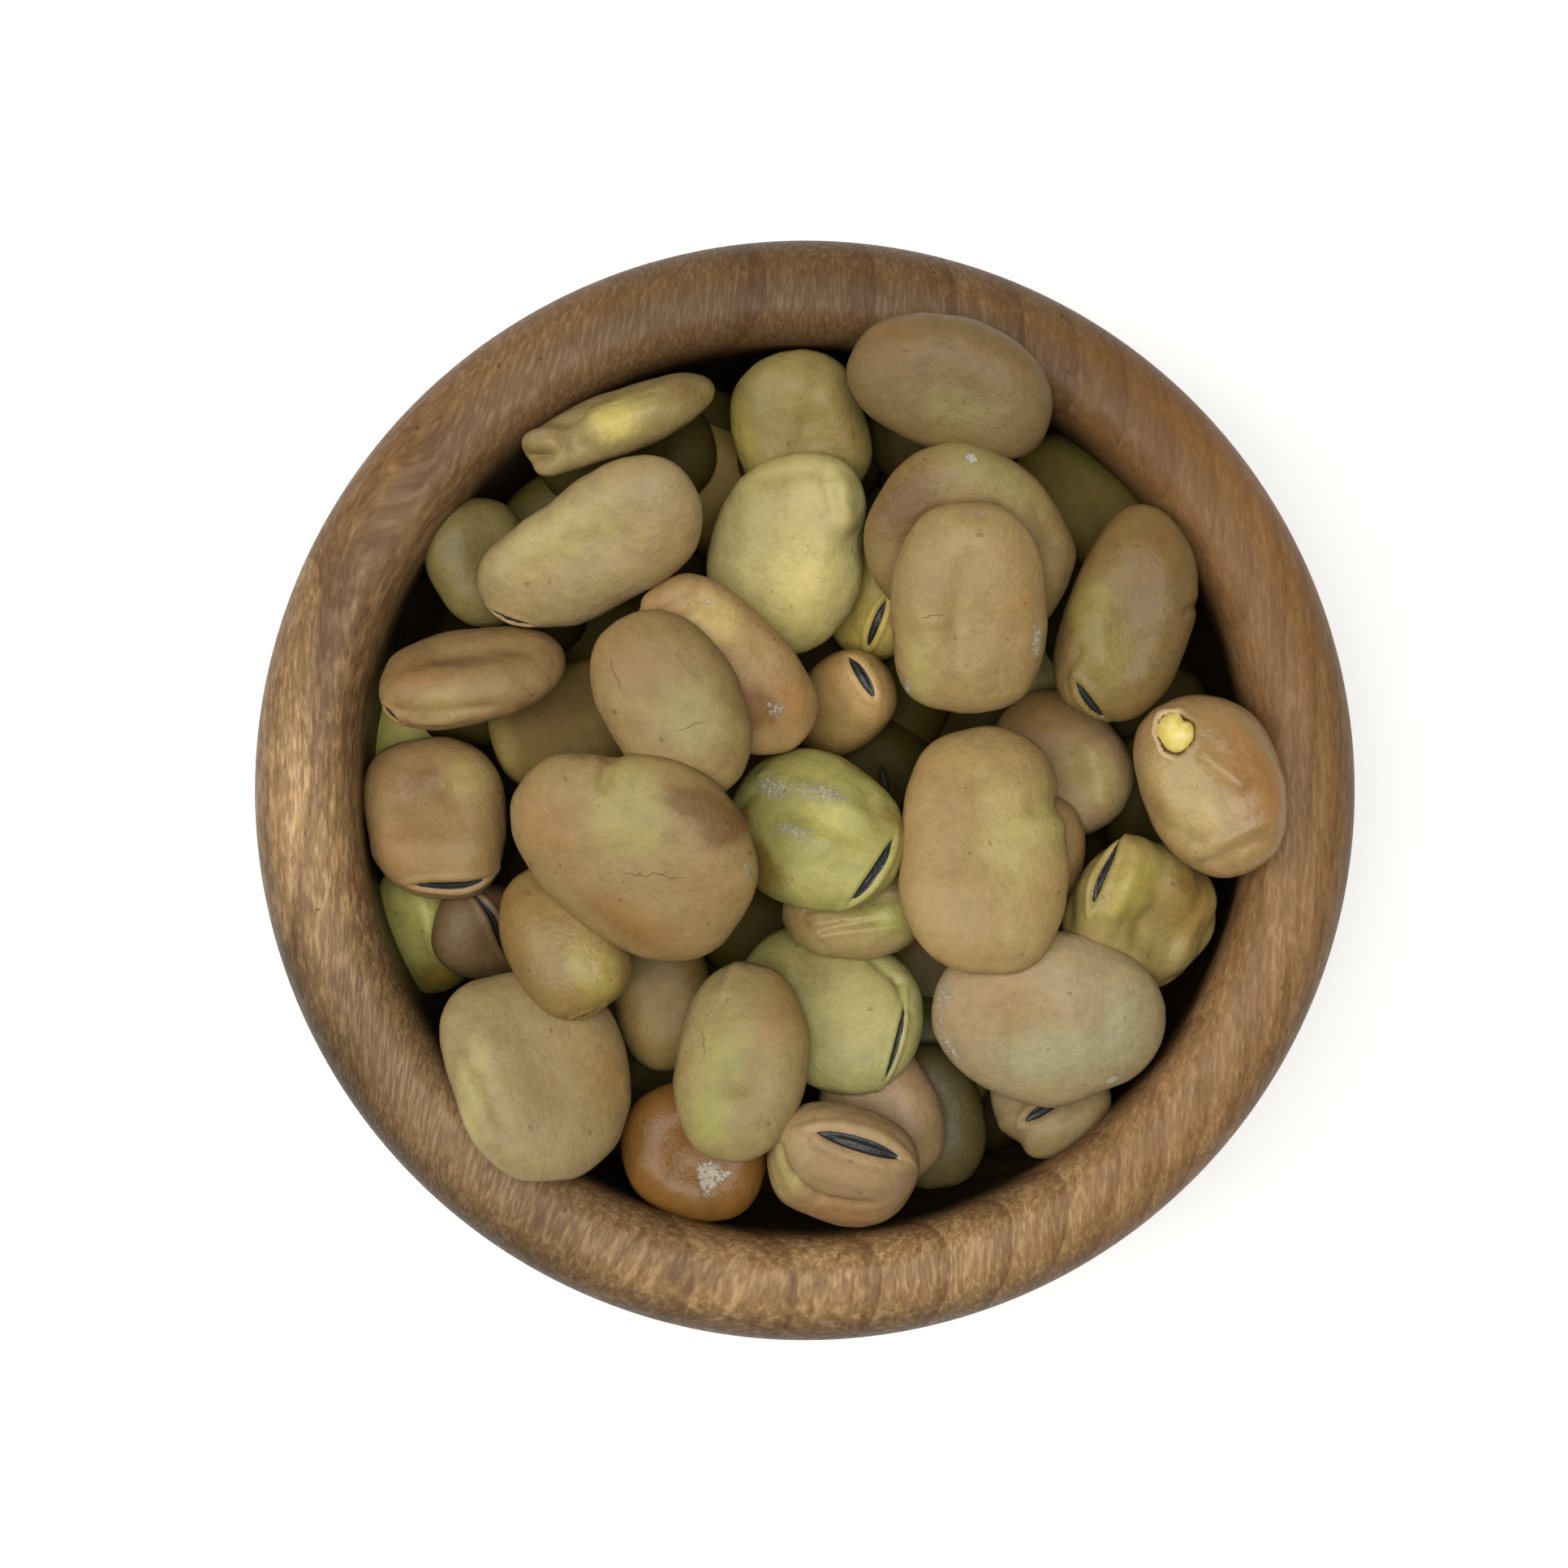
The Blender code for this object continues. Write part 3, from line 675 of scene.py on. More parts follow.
@dataclass(frozen=True)
class Scar(Detail):
    """The black almond where the bean hung in its pod, in a groove with a raised lip."""

    start: Plan
    end: Plan
    wide: float
    lip: float = 0.25
    sunk: float = 0.3

    def places(self, skin: Skin) -> Array:
        """Where the points are along and across the scar, in half lengths and widths.

        Args:
            skin: The bean's skin.

        Returns:
            Two numbers for each point, and how near it is as a third.
        """
        start, end = np.array(self.start), np.array(self.end)
        middle = skin.nearest(tuple((start + end) / 2.0))
        normal = skin.normal[middle]
        way = end - start
        half = float(np.linalg.norm(way)) / 2.0
        way = way - normal * (way @ normal)
        way /= np.linalg.norm(way)
        place = skin.place - skin.place[middle]
        along = place @ way / half
        across = place @ np.cross(normal, way) / self.wide
        depth = place @ normal
        near = (np.linalg.norm(place, axis=1) < 1.9 * half) & (depth > -0.85 * half)
        return np.stack([along, across, near], axis=1)

    def relief(self, skin: Skin) -> Array:
        """The groove, the lip round it and the low dome of the scar itself.

        Args:
            skin: The bean's skin.

        Returns:
            A height for each point.
        """
        along, across, near = self.places(skin).T
        almond = np.abs(along) ** 2.6 + np.abs(across)
        groove = -self.sunk * smooth(1.2, 0.75, almond)
        lip = self.lip * np.exp(-((almond - 2.0) / 0.7) ** 2)
        dome = 0.5 * self.sunk * smooth(0.8, 0.0, almond)
        return (groove + lip + dome) * near

    def colour(self, skin: Skin) -> None:
        """Writes the scar's own coordinates on the skin."""
        found = self.places(skin)
        near = found[:, 2] > 0.5
        skin.scar[near, :2] = found[near, :2]


@dataclass(frozen=True)
class Tear(Detail):
    """A hole in the skin, with a curled edge and a hollow under it."""

    at: Plan
    long: float
    wide: float
    depth: float = 1.1
    curl: float = 0.16

    def places(self, skin: Skin) -> Array:
        """Where the points are in the hole, in parts of its half length and width.

        Args:
            skin: The bean's skin.

        Returns:
            Two numbers for each point.
        """
        x, y = (skin.place[:, :2] - np.array(self.at)).T
        angle = np.arctan2(y, x)
        ragged = 1.0 + 0.07 * np.sin(3.0 * angle + 0.6) + 0.03 * np.sin(7.0 * angle)
        far = np.where(skin.upper > 0.5, 1.0, FAR_OFF)
        return np.stack([x / self.long * far / ragged, y / self.wide * far / ragged], axis=1)

    def relief(self, skin: Skin) -> Array:
        """The hollow and the curled edge."""
        ring = np.hypot(*self.places(skin).T)
        lip = self.curl * np.exp(-((ring - 1.15) / 0.12) ** 2)
        return lip - self.depth * smooth(1.04, 0.86, ring)

    def colour(self, skin: Skin) -> None:
        """Writes the hole's own coordinates on the skin."""
        skin.tear[:, :2] = self.places(skin)


second, brown, scuff, warm = (partial(Mark, stain) for stain in Stain)


def fold(*numbers: float) -> Fold:
    """A fold from the numbers of its two places, its width and its height."""
    size = len(numbers) // 2 - 1
    return Fold(numbers[:size], numbers[size:2 * size], *numbers[-2:])


# How the heap is seen from above: pixels of a square picture, the point under the
# eye, the middle of the bowl, and the height of the eye over the rim.
PICTURE = 1932.0
PIXELS_PER_MM = 11.5
EYE_PIXEL = (966.0, 966.0)
BOWL_PIXEL = (992.0, 974.0)
EYE_HEIGHT = 300.0
EYE_X = (EYE_PIXEL[0] - BOWL_PIXEL[0]) / PIXELS_PER_MM
EYE_Y = (BOWL_PIXEL[1] - EYE_PIXEL[1]) / PIXELS_PER_MM


@dataclass
class Bean:
    """One dried bean: its size, its outline, the way it lies and its skin.

    ``seen`` is the pixel of its middle, ``turn`` points its scarred end, counted
    from +X towards +Y, ``pitch`` raises that end and ``roll`` raises its left side.
    It may tilt by up to ``free`` degrees as it settles, and lies no higher than ``cap``.
    """

    name: str
    tone: Tone
    # Lightness of its colours: partly the bean's own tone, partly painted light and shade for where it lies
    # in the heap
    shade: float
    seen: tuple[float, float]
    length: float
    width: float
    thick: float
    turn: float
    pitch: float = 0.0
    roll: float = 0.0
    free: float = 11.0
    on_rim: bool = False
    lift: float = 0.0
    cap: float = 99.0
    square: float = 2.3
    egg: float = 0.04
    bend: float = 0.0
    notch: float = 0.0
    notch_side: int = -1
    notch_at: float = 0.45
    dimple: float = 0.5
    gloss: float = 0.25
    lumps: float = 0.06
    details: tuple[Detail, ...] = ()


def hidden(name: str, seen: tuple[float, float], turn: float) -> Bean:
    """A flat bean low under the others, which holds them up."""
    return Bean(name, SOOT, 1.0, seen, 18.0, 13.0, 8.0, turn)


def prop(name: str, seen: tuple[float, float], turn: float, cap: float,
         roll: float = 65.0) -> Bean:
    """A bean right under a high one, on its side, no higher than its cap."""
    return Bean(name, SOOT, 1.0, seen, 17.0, 12.5, 8.0, turn, 0.0, roll, cap=cap)


HIDDEN_BEANS = [hidden(*row) for row in (
    ("under_torn", (1425, 990), 100), ("under_rim_north", (1150, 560), -20),
    ("under_crescent", (1190, 690), -60), ("under_olive_north", (1000, 560), 10),
    ("under_edge_north", (780, 545), 20), ("under_olive_west", (625, 715), 130),
    ("under_block_west", (560, 1000), -60), ("under_edge_west", (600, 850), 10),
    ("under_rim_south_west", (690, 1300), 70), ("under_brown_east", (1370, 740), 70),
    ("under_russet", (860, 1400), 20), ("under_tall_east", (1215, 1060), 80),
    ("under_mossy", (1000, 1015), -40), ("under_largest", (790, 1040), 145),
)]

PROP_BEANS = [prop(*row) for row in (
    ("prop_torn", (1455, 975), 100, 45), ("prop_rim_north", (1160, 530), -20, 46, 20),
    ("prop_crescent", (1195, 665), -40, 43.5), ("prop_edge_north", (770, 535), 20, 46, 15),
    ("prop_kidney", (735, 665), 25, 44.5), ("prop_rim_south_west", (685, 1310), 110, 44),
    ("prop_brown_east", (1385, 745), -105, 44.5), ("prop_pair", (860, 835), -50, 43),
    ("prop_largest", (785, 1050), 145, 48), ("prop_grey_south", (1290, 1240), 0, 43.5),
)]

# Their shades are painted shade and light, set to how dark each bean lies in its gap
GAP_BEANS = [
    Bean("gap_west", MOSS, 2.4, (500, 895), 17, 13, 8, 60),
    Bean("gap_east", SOOT, 1.2, (1400, 950), 18, 13, 8, 90),
    Bean("gap_north_east", MOSS, 0.8, (1290, 800), 18, 12, 8, 95),
    Bean("gap_middle", SOOT, 2.3, (1112, 850), 16, 12, 8, 80),
    Bean("gap_well", SOOT, 1.8, (1085, 950), 16, 12, 8, -50,
         details=(Scar((-0.4, 0.2, 4), (2.6, -1.2, 3.8), 0.4),)),
    Bean("gap_north", UMBER, 1.75, (885, 620), 18, 13, 8, -60),
    Bean("gap_north_west", OLIVE, 1.2, (680, 630), 16, 12, 8, 30),
    Bean("gap_behind_pair", SOOT, 3, (745, 780), 17, 12, 8, 10),
    Bean("gap_top", SOOT, 0.9, (865, 530), 18, 12, 8, -70),
    Bean("gap_south_mid", TAN, 1.6, (1150, 1200), 16, 12, 8, -80),
    Bean("gap_south_edge", SOOT, 1, (1238, 1392), 16, 11, 8, -50),
    Bean("gap_south", OLIVE, 0.9, (1150, 1298), 16, 12, 8, -50),
    Bean("gap_south_west", SOOT, 1, (760, 1395), 16, 12, 8, -60),
    Bean("gap_russet_side", SOOT, 1, (806, 1336), 15, 12, 8, 60),
    Bean("gap_core", SOOT, 2.6, (925, 1140), 18, 13, 8, -30),
    Bean("gap_east_top", SOOT, 1, (1445, 880), 16, 12, 8, 20),
]

LOW_BEANS = [
    Bean("olive_west", OLIVE, 0.54, (588, 690), 15.5, 12.5, 8, 100, 0, 25, 6, lift=4,
         details=(Dent(0, 0, 3, 0.4),)),
    Bean("umber_west", UMBER, 1.1, (690, 895), 19, 14, 8, 200, bend=0.6, details=(Dent(-1, -2, 3, 0.4),
         brown(0, -2, 5, 3, 0.5), second(7.5, -1, 1.5, 5, 0.9))),
    Bean("slim_west", MOSS, 1, (524, 1145), 15, 10.5, 8.5, -70, 0, 25, bend=1.2, gloss=0.5,
         details=(fold(-6, 2.9, 1.5, 2.2, 0.8, 0.4), second(-3.6, 2.6, 3.6, 1.2),
         brown(5, 1.5, 3, 4, 1.2))),
    Bean("scar_west", HONEY, 0.37, (606, 1150), 16, 11, 8, 165, 45, 0, 8,
         details=(Scar((5.4, -4.2, 2.2), (0, 1.6, 3.8), 0.42),)),
    Bean("slim_south", TAN, 1.38, (812, 1235), 19, 11.5, 8, -80),
    Bean("olive_south", OLIVE, 0.32, (1152, 1388), 17, 12, 8, -80),
    Bean("rose_south", ROSE, 0.9, (1108, 1378), 17, 13, 8, -70, gloss=0.5),
    Bean("fold_south", SAND, 0.8, (1304, 1378), 17, 13, 8, -60, 20, 0, 5, notch=0.15,
         details=(Scar((1.7, -4.2, 3.1), (1.4, 0.8, 3.4), 0.62), fold(0.2, -6, 1.2, -3.8, 0.8, 0.35),
         fold(3.6, -4.6, 4.6, 2, 1.2, 0.35))),
    Bean("rose_east", ROSE, 1.05, (1310, 940), 18, 14, 8, -55, dimple=0.8,
         details=(second(4.3, 2, 4, 3, 1.2), warm(-5, 1, 4, 4), fold(1, 3.2, 6.5, 1, 1.1, 0.4))),
    Bean("umber_east", HONEY, 0.95, (1285, 1040), 18, 13, 8, 80),
    Bean("moss_north_east", SOOT, 1.85, (1335, 620), 19, 12, 8, -45, details=(fold(-6, 2, 5, 1, 1.6, 0.35),
         second(-2, 3, 6, 1.5, 0.8))),
    Bean("edge_middle", OLIVE, 2.8, (1072, 740), 15, 11, 8, -75, 0, 45, 8, gloss=0.6,
         details=(Scar((1.6, 5, 2.4), (5.9, 0.6, 2.8), 0.45),)),
]

MIDDLE_BEANS = [
    Bean("pale_south", CELERY, 1, (1030, 1238), 23, 17, 7.8, -20, dimple=0.3,
         details=(Scar((7.6, 2.4, 2.8), (8.5, -6, 1.3), 0.32, 0.2, 0.25),
         fold(2.4, 5.6, 5.9, 4.4, 0.6, -0.35), fold(5.9, 4.4, 7.9, 2, 0.6, -0.35), second(4, -0.5, 5, 4),
         brown(-4, 2.5, 6, 5, 0.6))),
    Bean("pale_east", OLIVE, 0.95, (1404, 1118), 18, 16.5, 9, 157, 25, 0, 8, dimple=1.2, gloss=0.6,
         lumps=0.18, details=(Scar((7.4, -6.6, 0.2), (7.7, 0.9, 2.5), 0.5, 0.3, 0.5),
         fold(5.9, -6, 5.7, 0.6, 1.1, 0.65), fold(2.2, 3.5, -3, 5, 1.4, 0.4), fold(1, -5, -4, -2, 1.3, 0.4),
         Dent(1.5, 0.5, 1.8, 0.6), Dent(-3, 1, 1.6, 0.45), Dent(2.6, -4, 1.4, 0.4),
         brown(-1, -5.5, 4, 2, 0.7), second(5, -2.5, 3, 4.5), warm(-3, -3, 4, 4))),
    Bean("wrinkled", SAGE, 1.08, (1055, 1130), 17, 11, 8, 180, 0, 20, bend=0.8, gloss=0.7, lumps=0.1,
         details=(fold(-5, 1.8, 5, 2.9, 0.4, 0.2), fold(-5.5, 3, 4, 4.1, 0.35, 0.2),
         fold(-4, 0.3, 5.5, 1.4, 0.4, -0.25), fold(-3, 2.2, 4, 3.5, 0.3, -0.25),
         fold(-6.5, 0.5, -2, 1.2, 0.4, 0.25), fold(2, -1, 6.5, 0.6, 0.5, 0.25),
         brown(6, 2.5, 2.5, 2.6, 0.7), warm(5, 4, 4, 1.5, 0.5), second(-3, 2, 4, 2))),
    Bean("olive_north", OLIVE, 0.85, (985, 534), 17.5, 15.5, 8, 100, 22, 0, 5, True, dimple=1,
         details=(fold(6, -0.8, 0, 1, 1.3, 0.25), fold(6, 2.6, 1, 3.4, 1.2, -0.2),
         fold(3.5, -3.2, -3, -5.5, 1.4, 0.35), Dent(2, -1, 1.6, 0.25), second(2, 6.4, 5, 1.3, 1.2),
         second(-3.5, 3, 3, 3, 0.6), warm(0, -5, 4, 2, 0.7))),
    Bean("rim_north", TAN, 0.62, (1170, 472), 22.4, 15.5, 8, -18, 0, 6, 11, True, dimple=0.3,
         details=(second(2, -1.6, 5.5, 3.2, 0.9, 10), warm(-6, 2, 5, 4, 0.8), warm(1, 5, 7, 2, 0.6),
         Dent(3, -1, 4, 0.2))),
    Bean("edge_west", HONEY, 0.73, (574, 832), 21, 14, 8.5, 190, 0, 50, 4,
         details=(fold(8.8, 4.6, 0.8, -2, 6.9, 0.4, 0.8, -0.5),
         fold(6.5, 5.9, -0.6, 0.5, 7.3, -1, 0.5, 0.3), fold(7, 3, -4, 4, 1.5, 0.45),
         fold(2.5, 0, -6.5, 0.8, 1.3, -0.4), Scar((9.6, 3.3, 0.5), (8.2, 4.6, -1), 0.4), warm(5, 2, 4, 3),
         second(3, 6, 4, 1.2), brown(5.5, 6.2, 3, 1, 0.6))),
    Bean("block_west", HONEY, 0.81, (530, 1003), 17.8, 15.5, 9.2, -85, 22, 0, 8, square=2.7, dimple=1,
         details=(Dent(-1.4, -1.6, 2, 0.5), Dent(-2.3, 2.1, 1.2, 0.45), fold(-5, 2, -0.5, 3.2, 0.8, -0.3),
         fold(3.4, -6, 4.6, 5.5, 2, 0.35), Scar((8, -1.8, 2.7), (7.8, 6.1, 1.4), 0.5),
         warm(3.6, -1, 3.5, 6, 0.5), second(-3.4, 5, 2.8, 2.4), brown(-3.5, 0, 3.5, 4, 0.7))),
    Bean("edge_north", GOLD, 0.85, (766, 522), 21.5, 13, 7.5, -163, 0, 66, 6, True, notch=0.1, gloss=0.55,
         details=(fold(11, 1, 0.4, 8.2, 4.6, 0.5, 0.7, -1.5), fold(10, 0.5, 2, 7.6, 3.6, 2.3, 1.6, 1.1),
         fold(10, 3, -1.6, 8, 5.2, -1.6, 1.6, 1.2), fold(5, 1.6, 2.8, 4.8, 5.8, 0, 1.6, -0.75),
         fold(3.5, 4, 1.6, -4, 4.2, 1.8, 1.2, 0.45), second(0.6, 3.9, 2.4, 2.8, 1.1, 20),
         second(-5, 2, 5, 1.6, 0.4), brown(-8, 3, 3, 3, 0.7), warm(7.5, 3, 3.4, 4, 0.5),
         scuff(5.4, 3.6, 1.3, 0.8, 0.85))),
    Bean("russet", RUSSET, 0.76, (852, 1430), 16.5, 15, 8.5, -20, dimple=1.6, gloss=0.75,
         details=(scuff(2, -0.7, 1.7, 1.6, 1.7), scuff(2.6, -2.8, 0.8, 1.5, 1.1, 20),
         scuff(4.2, -0.2, 1.4, 0.7, 1, 40), fold(2, -1, 5, -5, 0.9, -0.3), brown(-1.5, 2, 3, 3, 0.5),
         second(3, -3, 4, 4, 0.7))),
    Bean("rim_south_west", SAND, 0.93, (660, 1330), 22.5, 20.3, 8, 100, -4, 6, 11, True, notch=0.05,
         notch_side=1, notch_at=-0.1, square=2.4, lumps=0.05, details=(fold(6.2, 8.8, 1, 7.2, 0.8, -0.4),
         fold(2.6, 8.2, -6.6, 6.3, 0.9, 0.4), fold(1, 6.4, -5, 5, 0.9, -0.2),
         second(-1.5, 7.2, 6.5, 1.4, 1.2, -12), Dent(0, -1, 5, 0.2), warm(-2, -7, 6, 3),
         brown(-2, -1, 4, 3, 0.25))),
    Bean("crescent", TAN, 0.8, (1200, 668), 22.5, 20, 8, -30, dimple=1.8, gloss=0.35,
         details=(second(-3, 7.8, 9, 2.5, 0.8), scuff(-5.8, 7.7, 0.6, 0.5, 3), brown(-9, 0, 3.5, 5),
         fold(7.5, 5, 9.5, 1, 1, 0.35), fold(3, 6.6, 8, 3.8, 0.6, -0.2))),
]

UPPER_BEANS = [
    Bean("big_scar", ROSE, 0.95, (1037, 1436), 17, 16.5, 10, 75, 50, 0, 6, square=2.5,
         details=(Scar((7.4, 3.9, 1.5), (6.9, -5.8, 1.6), 0.8, 0.35, 0.3),
         fold(7.7, 5.4, 1.6, 6.8, 4.7, 2.3, 0.5, -0.5), fold(3.8, 7.2, 2.2, 1.4, 4.8, 4.2, 0.7, -0.5),
         fold(1.4, 4.8, 4.2, -0.5, 1.4, 4.8, 0.8, -0.45), fold(-0.5, 1.4, 4.8, 0.8, -3.4, 4.2, 0.8, -0.4),
         fold(4.6, 4.6, 3.6, 4.6, -3.5, 3.8, 1.5, 0.35), fold(7.6, 3.4, -0.8, 8.4, -3.4, -0.6, 1.2, 0.3),
         second(0, 6, 5, 2.5), warm(-3, -2, 4, 5))),
    Bean("mossy", MOSS, 0.95, (1005, 1022), 20, 16.5, 9, -25, 14, square=2.1, dimple=0.2, gloss=0.35,
         lumps=0.1, details=(Scar((9.5, 2.2, 2), (8.4, -5.8, 0.9), 0.5), fold(-7, 2.2, 5, 2.6, 1, 0.4),
         fold(-7, 0.2, 6, 0, 0.9, -0.35), fold(-6, -2.2, 3, -2, 0.9, 0.3), fold(4, 5.8, 8, 3, 0.8, -0.3),
         scuff(0.8, 3, 5.4, 1.9, 1.2, 12), scuff(0.3, -2.3, 4.4, 1.7, 1.12, 8),
         scuff(-5.6, 1, 2.6, 1.3, 1.1), brown(-2.4, -6.8, 3.4, 2, 1.4, -20), brown(8, 4.4, 2.4, 1.6, 0.7),
         brown(-7, -3, 2, 3, 0.8), second(3, 1, 4, 3, 0.7))),
    Bean("pear", PALE, 0.95, (970, 684), 22.3, 17, 8, 75, egg=-0.05, notch=0.14, notch_at=0.3, square=2.2,
         gloss=0.4, details=(fold(9.4, -3.8, 5.4, -5.4, 1.1, 0.6), Dent(3.6, -6.8, 1.8, 0.6),
         fold(9.8, -2, 6.4, -3.8, 0.6, -0.3), fold(10.2, -0.5, 8, 4.5, 0.8, -0.25),
         fold(3, -3, -3, -4.5, 1.6, 0.3), second(-3, -1, 6, 4.5, 0.9), brown(7, 3, 3.5, 3, 0.5))),
    Bean("scar_middle", HONEY, 1.55, (1038, 868), 15, 10.5, 8, 45, 48, 0, 5,
         details=(Scar((6.6, 3.3, 1.1), (6.1, -2, 2.5), 0.6, 0.1, 0.25), brown(4, 3, 3, 3, 0.5))),
    Bean("grey_south", GREY, 0.94, (1295, 1259), 26.5, 19, 8.5, -5, bend=-0.7, egg=-0.02, square=2.5,
         gloss=0.35, details=(second(0.5, -3, 7, 3.4), second(8, 1, 3, 4, 0.8),
         scuff(-11.2, 1.6, 1.3, 4, 1.05), scuff(-9.6, -4.4, 1.2, 3, 1.05, 35),
         scuff(7.5, -5.7, 0.7, 0.4, 3, 20), warm(-6, 2, 5, 6), Dent(-2.5, -2, 3, 0.3),
         fold(1, 2, 4.5, -3.5, 2, 0.25), Dent(6, 0.5, 2.5, 0.25))),
    Bean("brown_east", AMBER, 0.67, (1390, 755), 24, 15.5, 9, -108, 8, 0, 11, True, bend=0.8, notch=0.06,
         gloss=0.4, details=(Scar((8.8, -3.3, 3.1), (11.5, 0.9, 1.2), 0.5),
         fold(8.6, -4.6, 5.5, -4, 0.6, -0.35), fold(6, -1.5, 1.5, -3, 1.4, 0.35),
         fold(-3.4, 7.2, -2, 5.6, 0.4, -0.4), second(0.5, -4.4, 2.6, 2, 1.4),
         second(5.5, -1, 4.5, 3.5, 0.9), warm(-6, 0, 5, 6, 0.9), Dent(4, 2.5, 2, 0.3))),
    Bean("plump_west", AMBER, 0.87, (695, 1160), 18, 12.8, 9.2, -62, square=2.4, dimple=0, gloss=0.8,
         details=(Scar((8.4, -2.7, 0.8), (8.9, 0.5, 0.8), 0.22, 0.2, 0.2), second(5, 1.8, 3, 2.4, 1.3),
         warm(-5, -3, 4, 3.5, 0.6), brown(0, -5, 6, 1.5, 0.4))),
    Bean("beaked", SAGE, 0.92, (915, 1310), 21.5, 14.5, 8.2, 83, egg=-0.05, dimple=0,
         details=(Crack((3.4, 3.9), (-0.6, 3.4)), fold(10, 1.6, 7, 2.2, 0.8, 0.4),
         fold(0.5, 0.3, -3, -0.8, 1.5, -0.4), Dent(-1.4, -1, 2.5, 0.25), brown(8, -3, 4, 3, 0.3),
         second(-0.5, 1.4, 4.6, 3, 0.85), second(-6.5, 2, 3, 3, 0.7), warm(6, -4, 6, 2.5, 0.9),
         scuff(2, -5.2, 6, 1.3, 0.72))),
    Bean("tan_north_east", TAN, 1.03, (1193, 752), 23.3, 17, 8.6, -90, square=2.5, notch=0.05,
         notch_at=0.35, gloss=0.35, details=(fold(-6, -0.2, 3.8, -1.2, 1.5, -0.4),
         Crack((0.2, -5.6), (-0.2, -2.2)), fold(0.6, -5, 0.6, -2.6, 0.6, 0.25), Dent(2.2, -6.4, 1.3, 0.5),
         second(-1, -0.8, 6.5, 1.3, 0.5), second(5, -5, 5, 2, 1.1), warm(1, 4.6, 6, 2.4, 0.6),
         scuff(2.8, 7, 2.8, 0.8, 1.4), scuff(-10.6, 0.6, 0.8, 3.6, 0.9), scuff(8, -6.4, 1.6, 0.7, 1.2),
         scuff(9.6, 4, 0.6, 2.5, 0.8, 20))),
    Bean("kidney", SAND, 0.95, (724, 668), 26.2, 15.5, 8, -154, bend=-1.6, square=2.3, gloss=0.35,
         details=(Scar((12.6, 1.5, 1.5), (9.4, 4.8, 1.7), 0.32, 0.15, 0.25),
         fold(7.5, -0.8, -6.5, -0.2, 2.6, -0.35), second(1.5, -2.4, 7, 3), warm(-8, 3, 5, 4, 0.9),
         warm(5.5, 0.5, 4, 2.5, 0.6), scuff(-9, 2, 2, 1.2, 0.55, 40))),
    Bean("pair_lower", HONEY, 1.12, (893, 822), 24, 14, 7.6, 137, bend=0.6,
         details=(second(4.6, -3, 3, 2.4, 1.2), scuff(6.8, -3.8, 0.9, 0.7, 1.2, 30),
         scuff(-6.4, -0.4, 1.8, 1.6, 1.25, 30), brown(-4.8, 1, 2.6, 2.4, 1.3),
         fold(11.4, 0.6, 9.4, -3.8, 0.8, 0.4), fold(9.6, 1.6, 7.8, -3.4, 0.8, -0.4),
         fold(8, 1.6, 6.6, -2, 0.8, 0.25), warm(-7.6, -2.6, 3.4, 3, 0.9), brown(10, 0, 2.6, 4, 0.5))),
]

TOP_BEANS = [
    Bean("torn_skin", HONEY, 0.92, (1492, 970), 20.3, 15.5, 10, 117, 0, 0, 11, True, dimple=0.3, gloss=1,
         details=(Tear((6.5, 0.2), 2.35, 2.05), fold(-7.8, -3.6, -7.2, 4.6, 0.6, -0.3),
         fold(-6.4, -4.4, -5.8, 5, 0.6, 0.25), fold(-5, 3.5, -1.5, 6, 0.8, -0.25),
         fold(2.6, -1.5, -1.6, -3.2, 0.8, 0.4), brown(0.5, 5.6, 2.6, 1.2, 0.6), warm(-1.5, -5, 8, 3, 1.2),
         second(-1, 2.4, 7, 4))),
    Bean("pair_upper", TAN, 0.86, (826, 866), 22, 15, 7.2, -60, square=2.4, dimple=0.2,
         details=(Crack((-7.6, -3), (-3.4, -3.9)), Crack((2.6, -1.2), (3.6, 2.8)),
         second(3.6, 0.5, 5, 3.5, 0.8), warm(-6, -1, 5, 5, 0.6))),
    Bean("tall_east", TAN, 1.16, (1213, 1050), 26.5, 18.7, 8.5, 94, square=2.6, notch=0.06, notch_at=0.2,
         details=(fold(4.8, -8.6, 3.8, -5.2, 1.1, -0.6), fold(2.2, -8, 1.6, -5.2, 1.3, 0.4),
         fold(7.2, -6.4, 6.2, -2.6, 1.3, 0.3), fold(6.6, 0.8, 1.6, 0.2, 1.2, -0.25),
         second(2.2, -6.8, 2.6, 2.2, 1.2), second(-2, -2, 8, 4, 0.7), warm(8, 4, 4, 4, 0.5))),
    Bean("largest", TAN, 0.92, (778, 1054), 28, 20.2, 8.6, 145, egg=-0.03, notch=0.09, notch_at=0.42,
         square=2.4, dimple=0.3, details=(fold(7.9, -7.8, 6.5, -5.4, 0.8, -0.75),
         fold(5.4, -8, 4.4, -6, 1.2, 0.45), fold(9.8, -5.4, 8.4, -6.6, 0.8, 0.3),
         Crack((0.8, 1.4), (-7, -2.8)), second(3.4, -6.6, 3.8, 3, 1.5), second(2, -3, 4, 3, 0.8),
         brown(-2.6, -9.4, 4.4, 1.7, 1.3, 15), brown(-6.6, -8.2, 2.4, 1.6, 1.1, 40),
         scuff(-10.9, -6, 0.9, 2.8, 0.95, 30), warm(8.5, 1.5, 4, 4.5, 0.8), warm(-4, 5, 7, 2.5, 1.1),
         brown(-4, 6, 7, 1.8, 0.5), warm(-9, -2, 4, 5, 0.6))),
]

UNSEEN_BEANS = HIDDEN_BEANS + PROP_BEANS
DEEP_BEANS = HIDDEN_BEANS + LOW_BEANS + PROP_BEANS
RAISED_BEANS = MIDDLE_BEANS + UPPER_BEANS + TOP_BEANS


